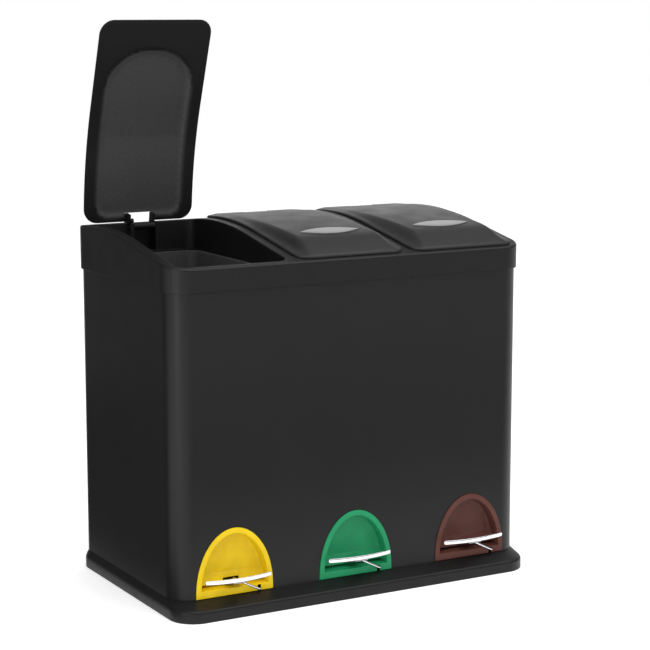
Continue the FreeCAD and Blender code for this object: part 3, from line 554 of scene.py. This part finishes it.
# ---------------------------------------------------------------- shapes that several pieces share
def collar_line(y):
    """Height of the collar's top line at y: a long arc that runs into a straight slope."""
    body = bpy.context.scene.pedal_bin_body
    slope = math.radians(body.front_slope)
    run = y - (WRAP_HIGH.y - body.crown_setback)
    tangent = -body.crown_radius * math.sin(slope)
    centre = COLLAR_HIGH.z - body.crown_radius
    if run >= tangent:
        return centre + math.sqrt(body.crown_radius ** 2 - run ** 2)
    return centre + body.crown_radius * math.cos(slope) + (run - tangent) * math.tan(slope)


def opening(side):
    """Low and high corners in plan of one lid opening."""
    body = bpy.context.scene.pedal_bin_body
    low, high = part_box(f"liner_{side}")
    return (low.x - body.opening_gap, low.y - body.opening_gap,
            high.x + body.opening_gap, high.y + body.opening_gap + body.ledge_depth)


def crest_rise(y):
    """How far the lid's raised middle stands above its edge at y."""
    lid = bpy.context.scene.pedal_bin_lid
    across = y - (WRAP_HIGH.y - lid.crest_setback)
    crest = lid.crest - across ** 2 / (2 * lid.crest_radius)
    share = min(max((y - CLOSED_LOW.y) / lid.shoulder, 0), 1)
    return max(crest - collar_line(y) - lid.gap - lid.wall, 0) * math.sin(share * math.pi / 2)


def lid_top(x, y):
    """Height of the lid's outside at a point in plan, leaving out the rounding of its edge."""
    lid = bpy.context.scene.pedal_bin_lid
    flank = ease((lid.flank_half - abs(x)) / (lid.flank_half - lid.crest_half))
    return collar_line(y) + lid.gap + lid.wall + crest_rise(y) * flank


def dish_share(x, y):
    """0 outside the arched dish in the lid's underside, rising to 1 on its floor."""
    lid = bpy.context.scene.pedal_bin_lid
    spring, apex = CLOSED_LOW.y + 0.078, CLOSED_LOW.y + 0.033
    back = CLOSED_HIGH.y - 0.0035
    if y < spring:
        ring = math.hypot(x / lid.dish_half, (y - spring) / (spring - apex))
        inside = (1 - ring) * (lid.dish_half + spring - apex) / 2
    else:
        corner = 0.016
        out_x = max(abs(x) - (lid.dish_half - corner), 0)
        out_y = max(y - (back - corner), 0)
        if out_x and out_y:
            inside = corner - math.hypot(out_x, out_y)
        else:
            inside = min(lid.dish_half - abs(x), back - y)
    return ease(inside / lid.dish_slope)


def lid_under(x, y):
    """Height of the lid's underside at a point in plan."""
    lid = bpy.context.scene.pedal_bin_lid
    depth = min(lid.dish_depth, crest_rise(y) + lid.wall - 0.0016)
    return collar_line(y) + lid.gap + depth * dish_share(x, y)


def lid_skin(name, height, roll):
    """One side of a lid: a grid with rounded corners, at the given height, rolled over at its edge."""
    lid = bpy.context.scene.pedal_bin_lid
    half_x = (CLOSED_HIGH.x - CLOSED_LOW.x) / 2
    half_y = (CLOSED_HIGH.y - CLOSED_LOW.y) / 2
    middle_y = (CLOSED_HIGH.y + CLOSED_LOW.y) / 2
    rim_steps, steps_x, steps_y = 4, 56, 92
    deselect()
    bpy.ops.mesh.primitive_grid_add(x_subdivisions=steps_x, y_subdivisions=steps_y, size=2)
    piece = named(name)

    def station(share, steps, half):
        """Distance from the middle, with the outermost lines close together for the rolled edge."""
        index = round((1 - abs(share)) * steps / 2)
        if index <= rim_steps:
            return math.copysign(half - roll * (1 - math.cos(index / rim_steps * math.pi / 2)), share), index
        left = steps / 2 - rim_steps
        return math.copysign((half - roll) * (1 - (index - rim_steps) / left), share), index

    def place(at):
        x, index_x = station(at.x, steps_x, half_x)
        y, index_y = station(at.y, steps_y, half_y)
        over_x = (abs(x) - (half_x - lid.corner)) / lid.corner
        over_y = (abs(y) - (half_y - lid.corner)) / lid.corner
        if over_x > 0 and over_y > 0:
            pull = max(over_x, over_y) / math.hypot(over_x, over_y)
            x = math.copysign(half_x - lid.corner + over_x * pull * lid.corner, x)
            y = math.copysign(half_y - lid.corner + over_y * pull * lid.corner, y)
        y += middle_y
        index = min(index_x, index_y, rim_steps)
        drop = 1 - math.sin(index / rim_steps * math.pi / 2)
        return Vector((x, y, height(x, y, drop)))

    move_points(piece, place)
    return piece


def arch_face(name, middle, inset, bottom, front):
    """A flat face with straight sides under a half ellipse, facing the front at y = front."""
    pedal = bpy.context.scene.pedal_bin_pedal
    low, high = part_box("pedal_recess_middle")
    half = (high.x - low.x) / 2 - inset
    spring = low.z + pedal.foot
    rise = high.z - spring - inset
    deselect()
    bpy.ops.mesh.primitive_circle_add(vertices=96, radius=1, fill_type="NGON",
                                      location=(middle, front, spring), rotation=(math.pi / 2, 0, 0))
    bpy.context.object.scale = (half, rise, 1)
    bpy.ops.object.transform_apply(location=True, rotation=True, scale=True)
    piece = named(name)
    edit(piece, "VERT")
    bpy.ops.mesh.select_all(action="SELECT")
    bpy.ops.mesh.bisect(plane_co=(middle, front, spring), plane_no=(0, 0, 1), clear_inner=True)
    choose(piece, "edges", lambda edge: all(abs(vert.co.z - spring) < 1e-6 for vert in edge.verts))
    bpy.ops.mesh.extrude_edges_move(TRANSFORM_OT_translate={"value": (0, 0, bottom - spring)})
    bpy.ops.mesh.select_all(action="SELECT")
    bpy.ops.mesh.remove_doubles(threshold=1e-6)
    bpy.ops.mesh.dissolve_limited(angle_limit=math.radians(0.5))
    done()
    return piece


# ---------------------------------------------------------------- the pieces
class PieceOperator:
    """What the bin's operators have in common"""
    bl_options = {"REGISTER", "UNDO"}


class PEDALBIN_OT_wrap(PieceOperator, bpy.types.Operator):
    """Model the painted steel wrap with its three arched windows"""
    bl_idname = "pedalbin.wrap"
    bl_label = "Steel wrap"

    def execute(self, context):
        body = context.scene.pedal_bin_body
        wrap = rounded_block("steel_wrap", WRAP_LOW, WRAP_HIGH, body.wrap_corner, 14)
        edit(wrap, "FACE")
        choose(wrap, "faces", lambda face: abs(face.normal.z) > 0.9)
        bpy.ops.mesh.delete(type="FACE")
        done()
        apply_modifier(wrap, "SOLIDIFY", thickness=body.sheet, offset=-1, use_even_offset=True)
        for side in SIDES:
            face = arch_face("window", PEDAL[side].x, 0.003, WRAP_LOW.z - 0.002, WRAP_LOW.y - 0.003)
            edit(face, "FACE")
            bpy.ops.mesh.select_all(action="SELECT")
            bpy.ops.mesh.extrude_region_move(TRANSFORM_OT_translate={"value": (0, 0.008, 0)})
            bpy.ops.mesh.select_all(action="SELECT")
            bpy.ops.mesh.normals_make_consistent(inside=False)
            done()
            carve(wrap, face)
        tidy_mesh(wrap, 30)
        even_shading(wrap)
        fit(wrap, ROOT, "painted_steel", finish_for("painted_steel"), "body_shell")
        return {"FINISHED"}


class PEDALBIN_OT_plinth(PieceOperator, bpy.types.Operator):
    """Model the plinth with its sloped top, its well and the lever bearings"""
    bl_idname = "pedalbin.plinth"
    bl_label = "Plinth"

    def execute(self, context):
        body = context.scene.pedal_bin_body
        side_out = PLINTH_HIGH.x - WRAP_HIGH.x
        rim_high = (PLINTH_HIGH.x, PLINTH_HIGH.y, body.plinth_face)
        plinth = rounded_block("plinth", PLINTH_LOW, rim_high, body.wrap_corner + side_out, 12)
        edit(plinth, "FACE")
        choose(plinth, "faces", lambda face: face.normal.z > 0.9)
        bpy.ops.mesh.extrude_region_move(
            TRANSFORM_OT_translate={"value": (0, 0, WRAP_LOW.z - body.plinth_face)})
        size_x = (WRAP_HIGH.x - WRAP_LOW.x) / (PLINTH_HIGH.x - PLINTH_LOW.x)
        size_y = (WRAP_HIGH.y - WRAP_LOW.y) / (PLINTH_HIGH.y - PLINTH_LOW.y)
        shift = (WRAP_HIGH.y + WRAP_LOW.y) / 2 - (PLINTH_HIGH.y + PLINTH_LOW.y) / 2
        middle = (0, (PLINTH_HIGH.y + PLINTH_LOW.y) / 2, WRAP_LOW.z)
        bpy.ops.transform.resize(value=(size_x, size_y, 1), center_override=middle)
        bpy.ops.transform.translate(value=(0, shift, 0))
        bpy.ops.mesh.inset(thickness=body.plinth_wall)
        bpy.ops.mesh.extrude_region_move(
            TRANSFORM_OT_translate={"value": (0, 0, body.plinth_wall - WRAP_LOW.z)})
        bpy.ops.mesh.select_mode(type="EDGE")
        choose(plinth, "edges", lambda edge: all(abs(vert.co.z - body.plinth_face) < 1e-6 for vert in edge.verts))
        bpy.ops.mesh.bevel(offset=body.plinth_round, segments=5)
        choose(plinth, "edges", lambda edge: all(abs(vert.co.z) < 1e-6 for vert in edge.verts))
        bpy.ops.mesh.bevel(offset=0.0008, segments=2)
        done()
        ears = []
        for side in SIDES:
            low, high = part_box(f"pedal_lever_{side}")
            pin_low, pin_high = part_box(f"lever_pin_{side}")
            for ear_low, ear_high in ((pin_low.x, pin_low.x + 0.004), (pin_high.x - 0.004, pin_high.x)):
                centre = PEDAL[side]
                ear = block("ear", (ear_low, centre.y - 0.006, body.plinth_wall - 0.001),
                            (ear_high, centre.y + 0.006, centre.z + 0.006))
                edit(ear)
                choose(ear, "edges", lambda edge: all(vert.co.z > centre.z for vert in edge.verts)
                       and abs(edge.verts[0].co.x - edge.verts[1].co.x) > 1e-4)
                bpy.ops.mesh.bevel(offset=0.0055, segments=6)
                done()
                ears.append(ear)
        tidy_mesh(plinth, 30)
        even_shading(plinth)
        whole = join([plinth] + ears, "plinth")
        only(whole)
        bpy.ops.object.shade_smooth_by_angle(angle=math.radians(30))
        fit(whole, ROOT, "black_plastic", finish_for("black_plastic"), "base_plinth")
        return {"FINISHED"}


class PEDALBIN_OT_collar(PieceOperator, bpy.types.Operator):
    """Model the collar: curved top, three lid openings with their ledges, and hinge channels"""
    bl_idname = "pedalbin.collar"
    bl_label = "Collar"

    def execute(self, context):
        body = context.scene.pedal_bin_body
        top = COLLAR_HIGH.z
        corner = body.wrap_corner + COLLAR_HIGH.x - WRAP_HIGH.x
        collar = rounded_block("collar", COLLAR_LOW, COLLAR_HIGH, corner, 14)
        edit(collar, "FACE")
        choose(collar, "faces", lambda face: face.normal.z < -0.9)
        bpy.ops.mesh.inset(thickness=body.lip_skin - 0.0003)
        bpy.ops.mesh.extrude_region_move(
            TRANSFORM_OT_translate={"value": (0, 0, WRAP_HIGH.z - COLLAR_LOW.z + 0.0005)})
        done()
        for side in SIDES:
            left, front, right, back = opening(side)
            carve(collar, rounded_block("mouth", (left, front, body.ledge_top), (right, back, top + 0.01),
                                        body.opening_corner, 8))
            centre = (left + right) / 2
            carve(collar, block("channel", (centre - body.channel_half, back - 0.01, body.ledge_top),
                                (centre + body.channel_half, back + body.channel_depth, top + 0.01)))
            carve(collar, rounded_block("throat", (left, front, COLLAR_LOW.z - 0.01),
                                        (right, back - body.ledge_depth, body.ledge_top + 0.001),
                                        body.opening_corner, 8,
                                        lambda edge: edge.verts[0].co.y < 0))
        edit(collar)

        def at_top(edge):
            return (all(abs(vert.co.z - top) < 1e-6 for vert in edge.verts)
                    and any(abs(face.normal.z) < 0.2 for face in edge.link_faces))

        def in_opening(edge):
            point = (edge.verts[0].co + edge.verts[1].co) / 2
            return any(left - 1e-4 < point.x < right + 1e-4 and front - 1e-4 < point.y < back + 0.02
                       for left, front, right, back in map(opening, SIDES)) and point.y < COLLAR_HIGH.y - 0.004

        choose(collar, "edges", lambda edge: at_top(edge) and in_opening(edge))
        bpy.ops.mesh.bevel(offset=body.lip_round, segments=4, clamp_overlap=False)
        choose(collar, "edges", lambda edge: at_top(edge) and not in_opening(edge))
        bpy.ops.mesh.bevel(offset=body.collar_round, segments=5, clamp_overlap=False)
        choose(collar, "edges", lambda edge: all(abs(vert.co.z - COLLAR_LOW.z) < 1e-6 for vert in edge.verts)
               and any(abs(face.normal.z) < 0.2 for face in edge.link_faces))
        bpy.ops.mesh.bevel(offset=0.0011, segments=2)
        steps = 50
        for index in range(1, steps):
            y = COLLAR_LOW.y + (COLLAR_HIGH.y - COLLAR_LOW.y) * index / steps
            bpy.ops.mesh.select_all(action="SELECT")
            bpy.ops.mesh.bisect(plane_co=(0, y, 0), plane_no=(0, 1, 0))
        done()
        move_points(collar, lambda at: Vector(
            (at.x, at.y, at.z + (collar_line(at.y) - top if at.z > top - 0.006 else 0))))
        tidy_mesh(collar, 32)
        even_shading(collar)
        fit(collar, ROOT, "black_plastic", finish_for("black_plastic"), "top_collar")
        return {"FINISHED"}


class PEDALBIN_OT_lids(PieceOperator, bpy.types.Operator):
    """Model one lid, copy it to each opening and swing the left one open"""
    bl_idname = "pedalbin.lids"
    bl_label = "Lids"

    def execute(self, context):
        lid = context.scene.pedal_bin_lid
        outside = lid_skin("outside", lambda x, y, drop: lid_top(x, y) - drop * lid.edge_round, lid.edge_round)
        inside = lid_skin("inside", lambda x, y, drop: lid_under(x, y) + drop * 0.0002, 0.0002)
        edit(inside, "FACE")
        bpy.ops.mesh.select_all(action="SELECT")
        bpy.ops.mesh.flip_normals()
        done()
        whole = join([outside, inside], "lid_master")
        edit(whole)
        bpy.ops.mesh.select_non_manifold()
        bpy.ops.mesh.bridge_edge_loops()
        done()
        notch = block("notch", (-lid.notch_half, CLOSED_HIGH.y - lid.notch_depth, CLOSED_LOW.z - 0.05),
                      (lid.notch_half, CLOSED_HIGH.y + 0.01, CLOSED_HIGH.z + 0.05))
        carve(whole, notch)
        tidy_mesh(whole, 40)
        # Each point's place on the lid's colour scale: the underside's margin takes painted shade, the dish's wall
        # and floor painted light, the rest the plain outside colour.
        zone = whole.data.attributes.new("zone", "FLOAT", "POINT")
        for vert in whole.data.vertices:
            at = vert.co
            under = abs(at.z - lid_under(at.x, at.y)) < 0.0004
            share = dish_share(at.x, at.y)
            in_dish = OUTSIDE_ZONE + (1 - OUTSIDE_ZONE) * share if share > 0.05 else 0
            zone.data[vert.index].value = in_dish if under else OUTSIDE_ZONE
        for side in SIDES:
            piece = copy_of(whole, f"cover_{side}", (LID_X[side], 0, 0))
            open_left(piece, side)
            fit(piece, f"lid_{side}_group", "black_plastic", finish_for("lid_plastic"), f"lid_{side}")
        bpy.data.objects.remove(whole)
        return {"FINISHED"}


class PEDALBIN_OT_plates(PieceOperator, bpy.types.Operator):
    """Model the lens-shaped brushed plate on each lid"""
    bl_idname = "pedalbin.plates"
    bl_label = "Plates"

    def execute(self, context):
        lid = context.scene.pedal_bin_lid
        low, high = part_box("lid_badge_middle")
        centre_y = (low.y + high.y) / 2
        steps_x, steps_y = 48, 12
        deselect()
        bpy.ops.mesh.primitive_grid_add(x_subdivisions=steps_x, y_subdivisions=steps_y, size=2)
        plate = named("plate_master")

        def place(at):
            x = at.x * lid.badge_length / 2
            y = centre_y + at.y * lid.badge_width / 2 * (1 - at.x ** 2)
            edge = max(1 - abs(at.y), 0) * (1 - at.x ** 2)
            swell = lid.badge_rise * (0.6 + 0.4 * ease(edge / 0.3))
            return Vector((x, y, lid_top(x, y) + swell))

        move_points(plate, place)
        edit(plate)
        bpy.ops.mesh.select_all(action="SELECT")
        bpy.ops.mesh.remove_doubles(threshold=2e-5)
        done()
        apply_modifier(plate, "SOLIDIFY", thickness=lid.badge_rise * 0.8, offset=-1)
        tidy_mesh(plate, 45)
        for side in SIDES:
            piece = copy_of(plate, f"plate_{side}", (LID_X[side], 0, 0))
            open_left(piece, side)
            fit(piece, f"lid_{side}_group", "brushed_metal", finish_for("brushed_metal"), f"lid_badge_{side}")
        bpy.data.objects.remove(plate)
        return {"FINISHED"}


class PEDALBIN_OT_recesses(PieceOperator, bpy.types.Operator):
    """Model the coloured toe recesses: rim, dished back, crease, slot and wire notch"""
    bl_idname = "pedalbin.recesses"
    bl_label = "Toe recesses"

    def execute(self, context):
        pedal = context.scene.pedal_bin_pedal
        low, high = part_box("pedal_recess_middle")
        front, base = low.y, low.z
        crease, slot_top = base + 0.0228, base + 0.0110
        face = arch_face("recess_master", 0, 0, base, front)
        edit(face, "FACE")
        bpy.ops.mesh.select_all(action="SELECT")
        bpy.ops.mesh.inset(thickness=pedal.rim)
        bpy.ops.mesh.select_mode(type="VERT")
        inner_half = high.x - pedal.rim
        choose(face, "verts", lambda vert: abs(vert.co.z - base - pedal.rim) < 1e-4
               and abs(abs(vert.co.x) - inner_half) < 1e-4)
        bpy.ops.transform.translate(value=(0, 0, pedal.sill - pedal.rim))
        choose(face, "verts", lambda vert: abs(vert.co.x) < inner_half + 1e-4
               and base + 1e-4 < vert.co.z < base + pedal.sill - 1e-4)
        bpy.ops.transform.translate(value=(0, 0, pedal.sill - pedal.foot))
        bpy.ops.mesh.select_all(action="SELECT")
        bpy.ops.mesh.remove_doubles(threshold=4e-4)
        bpy.ops.mesh.select_mode(type="FACE")
        choose(face, "faces", lambda part: all(abs(vert.co.x) < inner_half + 1e-4 and vert.co.z > base + pedal.rim
                                               for vert in part.verts) and len(part.verts) > 20)
        wall = 0.0035
        bpy.ops.mesh.extrude_region_move(TRANSFORM_OT_translate={"value": (0, wall, 0)})
        bpy.ops.mesh.inset(thickness=0.0008)
        bpy.ops.mesh.extrude_region_move(TRANSFORM_OT_translate={"value": (0, pedal.depth - 2 * wall, 0)})
        for margin, sink in ((0.0022, 0.0016), (0.004, 0.0004)):
            bpy.ops.mesh.extrude_region_move(TRANSFORM_OT_translate={"value": (0, sink, 0)})
            bpy.ops.transform.resize(value=(1 - margin / inner_half, 1, 1 - margin / 0.030),
                                     center_override=(0, front, base + 0.0377))
        bpy.ops.mesh.select_mode(type="EDGE")
        choose(face, "edges", lambda edge: all(abs(vert.co.y - front) < 1e-6 for vert in edge.verts)
               and len(edge.link_faces) == 1)
        bpy.ops.mesh.extrude_edges_move(TRANSFORM_OT_translate={"value": (0, WRAP_LOW.y - front + 0.0003, 0)})
        choose(face, "edges", lambda edge: all(abs(vert.co.y - front) < 1e-6 for vert in edge.verts)
               and any(abs(part.normal.y) < 0.5 for part in edge.link_faces))
        bpy.ops.mesh.bevel(offset=pedal.rim_round, segments=3, clamp_overlap=True)
        for level in (slot_top, slot_top + 0.001, crease - 0.0012, crease, crease + 0.004):
            bpy.ops.mesh.select_all(action="SELECT")
            bpy.ops.mesh.bisect(plane_co=(0, 0, level), plane_no=(0, 0, 1))
        done()

        def settle(at):
            """Set the lower part back in a slope under the crease, down to the slot."""
            if at.y > front + pedal.depth - wall - 0.0015:
                if at.z <= slot_top + 1e-5:
                    at.y = high.y - pedal.skin - 0.0002
                elif at.z < crease - 1e-5:
                    at.y -= 0.0008 + 0.0034 * (crease - at.z) / (crease - slot_top)
            return at

        move_points(face, settle)
        lever_low, lever_high = base + 0.0118, base + 0.0168
        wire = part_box("pedal_brace_middle")[1].x - pedal.wire_radius
        edit(face, "FACE")
        open_window(face, (-0.0095, front + pedal.depth / 2, lever_low), (0.0095, high.y, lever_high))
        notch_half = 0.0021
        open_window(face, (wire - notch_half, front - 0.001, base - 0.001),
                    (wire + notch_half, WRAP_LOW.y + 0.001, base + 0.0068))
        done()
        tidy_mesh(face, 38, outward=False)
        apply_modifier(face, "SOLIDIFY", thickness=pedal.skin, offset=-1)
        tidy_mesh(face, 38)
        for side in SIDES:
            piece = copy_of(face, f"toe_recess_{side}", (PEDAL[side].x, 0, 0))
            slot = {"left": "yellow_plastic", "middle": "green_plastic", "right": "brown_plastic"}[side]
            fit(piece, ROOT, slot, finish_for(slot), f"pedal_recess_{side}")
        bpy.data.objects.remove(face)
        return {"FINISHED"}


class PEDALBIN_OT_treads(PieceOperator, bpy.types.Operator):
    """Model the bowed chrome treads and the wires that brace them"""
    bl_idname = "pedalbin.treads"
    bl_label = "Treads and wires"

    def execute(self, context):
        pedal = context.scene.pedal_bin_pedal
        low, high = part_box("pedal_tread_middle")
        half = high.x
        bow = high.y - low.y - pedal.tread_wall
        tread = block("tread_master", (low.x, low.y, low.z), (high.x, low.y + pedal.tread_wall, high.z))
        edit(tread)
        choose(tread, "edges", lambda edge: abs(edge.verts[0].co.y - edge.verts[1].co.y) > 1e-4)
        bpy.ops.mesh.bevel(offset=0.0016, segments=4)
        choose(tread, "edges", lambda edge: len(edge.link_faces) == 2 and edge.calc_face_angle(0) > 1.2)
        bpy.ops.mesh.bevel(offset=0.0006, segments=3)
        steps = 44
        for index in range(1, steps):
            bpy.ops.mesh.select_all(action="SELECT")
            bpy.ops.mesh.bisect(plane_co=(low.x + 2 * half * index / steps, 0, 0), plane_no=(1, 0, 0))
        done()
        move_points(tread, lambda at: at + Vector((0, bow * (at.x / half) ** 2, 0)))
        tidy_mesh(tread, 40)
        wire_low, wire_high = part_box("pedal_brace_middle")
        rim_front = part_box("pedal_recess_middle")[0].y
        foot = Vector((wire_high.x - pedal.wire_radius, rim_front - 0.0025, wire_low.z + pedal.wire_radius + 0.0004))
        for side in SIDES:
            piece = copy_of(tread, f"step_{side}", (PEDAL[side].x, 0, 0))
            press_left(piece, side)
            fit(piece, f"pedal_{side}_group", "chrome", finish_for("chrome"), f"pedal_tread_{side}")
            hub = Vector((foot.x, PEDAL[side].y - 0.003, PEDAL[side].z))
            points = [Vector((-0.004, rim_front - 0.003, low.z + 0.0010)), foot, foot + Vector((0, 0.021, 0)), hub]
            wire = bent_wire(f"wire_{side}", [point + Vector((PEDAL[side].x, 0, 0)) for point in points],
                             pedal.wire_radius)
            press_left(wire, side)
            fit(wire, f"pedal_{side}_group", "chrome", finish_for("chrome"), f"pedal_brace_{side}")
        bpy.data.objects.remove(tread)
        return {"FINISHED"}


def bent_wire(name, points, radius):
    """A round wire through straight runs with eased bends."""
    curve = bpy.data.curves.new(name, "CURVE")
    curve.dimensions = "3D"
    curve.bevel_depth = radius
    curve.bevel_resolution = 5
    curve.use_fill_caps = True
    spline = curve.splines.new("BEZIER")
    spline.bezier_points.add(len(points) - 1)
    for knot, point in zip(spline.bezier_points, points):
        knot.co = point
    for index, knot in enumerate(spline.bezier_points):
        before = points[max(index - 1, 0)]
        after = points[min(index + 1, len(points) - 1)]
        run = (after - before).normalized() * 0.002
        knot.handle_left, knot.handle_right = knot.co - run, knot.co + run
    wire = bpy.data.objects.new(name, curve)
    bpy.context.scene.collection.objects.link(wire)
    only(wire)
    bpy.ops.object.convert(target="MESH")
    wire = named(name)
    tidy_mesh(wire, 50)
    return wire


class PEDALBIN_OT_fittings(PieceOperator, bpy.types.Operator):
    """Give the frame's own parts their finishes"""
    bl_idname = "pedalbin.fittings"
    bl_label = "Fittings"

    def execute(self, context):
        slots = {part["node"]: part["material_slot"] for part in frame["record"]["subparts"]}
        for name, node in frame["nodes"].items():
            finish = finish_for(slots[name])
            if not node.material_slots:
                node.data.materials.append(finish)
            for place in node.material_slots:
                place.material = finish
        return {"FINISHED"}


class PEDALBIN_OT_stage(PieceOperator, bpy.types.Operator):
    """Set up the pale floor, the soft lights and the camera"""
    bl_idname = "pedalbin.stage"
    bl_label = "Stage"

    def execute(self, context):
        studio = context.scene.pedal_bin_studio
        deselect()
        bpy.ops.mesh.primitive_plane_add(size=24, location=(0, 0, 0))
        floor = named("floor")
        paper = Finish("floor_paper", studio.floor, 0.85)
        paper.tint(paper.noise(3, detail=3), 0.985, 1.01)
        paper.shader.inputs["Emission Color"].default_value = (1, 1, 1, 1)
        paper.shader.inputs["Emission Strength"].default_value = studio.floor_glow
        floor.data.materials.append(paper.material)
        # Dark panels that only reflections see
        for name, low, high, glow in (
            ("flag_left", (-0.42, -0.02, 0.0), (-0.40, 1.6, 0.9), studio.flag),
            ("flag_left_floor", (-0.42, -0.16, 0.0004), (-0.236, 1.2, 0.0008), studio.flag),
            ("flag_front_floor", (-0.30, -1.1, 0.0004), (1.5, -0.42, 0.0008), studio.flag * 4),
        ):
            flag = block(name, low, high)
            panel = Finish(f"{name}_cloth", (0.02, 0.02, 0.02), 0.9)
            panel.shader.inputs["Emission Color"].default_value = (1, 1, 1, 1)
            panel.shader.inputs["Emission Strength"].default_value = glow
            flag.data.materials.append(panel.material)
            for ray in ("visible_camera", "visible_diffuse", "visible_shadow", "visible_transmission"):
                setattr(flag, ray, False)
        world = context.scene.world or bpy.data.worlds.new("studio")
        context.scene.world = world
        world.use_nodes = True
        tree = world.node_tree
        path = tree.nodes.new("ShaderNodeLightPath")
        light = tree.nodes["Background"]
        light.inputs["Color"].default_value = (1, 1, 1, 1)
        light.inputs["Strength"].default_value = studio.sky
        for ray, strength in (("Is Glossy Ray", studio.gloss_sky), ("Is Camera Ray", studio.backdrop)):
            other = tree.nodes.new("ShaderNodeBackground")
            other.inputs["Color"].default_value = (1, 1, 1, 1)
            other.inputs["Strength"].default_value = strength
            mix = tree.nodes.new("ShaderNodeMixShader")
            tree.links.new(path.outputs[ray], mix.inputs["Fac"])
            tree.links.new(light.outputs[0], mix.inputs[1])
            tree.links.new(other.outputs["Background"], mix.inputs[2])
            light = mix
        tree.links.new(light.outputs[0], tree.nodes["World Output"].inputs["Surface"])
        for name, power, size, place in (
            ("overhead", studio.overhead, (2.6, 2.2), (0.8, -0.8, 2.4)),
            ("rim", studio.rim, (2.6, 1.2), (1.7, 2.3, 0.9)),
            ("mouth", studio.mouth, (0.7, 0.7), (-0.45, -0.45, 1.7)),
            ("strip", studio.strip, (0.45, 1.5), (-2.3, -1.3, 0.8)),
        ):
            bpy.ops.object.light_add(type="AREA", location=place)
            light = bpy.context.object
            light.name = name
            light.data.shape = "RECTANGLE"
            light.data.energy = power
            light.data.size, light.data.size_y = size
            light.visible_camera = False
            light.rotation_euler = (Vector((0, 0, 0.25)) - Vector(place)).to_track_quat("-Z", "Y").to_euler()
        context.scene.view_settings.view_transform = "Standard"
        bpy.ops.object.camera_add(location=(-1.0602, -1.9423, 0.6441),
                                  rotation=(math.pi / 2 - 0.1617, 0, -0.5131))
        camera = bpy.context.object
        camera.data.sensor_width = 36
        camera.data.lens = studio.focal
        context.scene.camera = camera
        return {"FINISHED"}


OPERATORS = (PEDALBIN_OT_fittings, PEDALBIN_OT_wrap, PEDALBIN_OT_plinth, PEDALBIN_OT_collar, PEDALBIN_OT_lids,
             PEDALBIN_OT_plates, PEDALBIN_OT_recesses, PEDALBIN_OT_treads, PEDALBIN_OT_stage)
GROUPS = {"pedal_bin_body": PedalBinBody, "pedal_bin_lid": PedalBinLid, "pedal_bin_pedal": PedalBinPedal,
          "pedal_bin_finish": PedalBinFinish, "pedal_bin_studio": PedalBinStudio}


class PEDALBIN_PT_panel(bpy.types.Panel):
    """Sizes, colours and steps of the pedal bin"""
    bl_idname = "PEDALBIN_PT_panel"
    bl_label = "Pedal bin"
    bl_space_type = "VIEW_3D"
    bl_region_type = "UI"
    bl_category = "Pedal bin"

    def draw(self, context):
        for name, group in GROUPS.items():
            box = self.layout.box()
            for prop in group.__annotations__:
                box.prop(getattr(context.scene, name), prop)
        for operator in OPERATORS:
            self.layout.operator(operator.bl_idname)


def register():
    for group in GROUPS.values():
        bpy.utils.register_class(group)
    for operator in OPERATORS:
        bpy.utils.register_class(operator)
    bpy.utils.register_class(PEDALBIN_PT_panel)
    for name, group in GROUPS.items():
        setattr(bpy.types.Scene, name, PointerProperty(type=group))


def unregister():
    for name in GROUPS:
        delattr(bpy.types.Scene, name)
    bpy.utils.unregister_class(PEDALBIN_PT_panel)
    for cls in (*OPERATORS[::-1], *list(GROUPS.values())[::-1]):
        bpy.utils.unregister_class(cls)


def main():
    register()
    bpy.ops.pedalbin.fittings()
    bpy.ops.pedalbin.wrap()
    bpy.ops.pedalbin.plinth()
    bpy.ops.pedalbin.collar()
    bpy.ops.pedalbin.lids()
    bpy.ops.pedalbin.plates()
    bpy.ops.pedalbin.recesses()
    bpy.ops.pedalbin.treads()
    bpy.ops.pedalbin.stage()
    deselect()


if __name__ == "__main__":
    main()
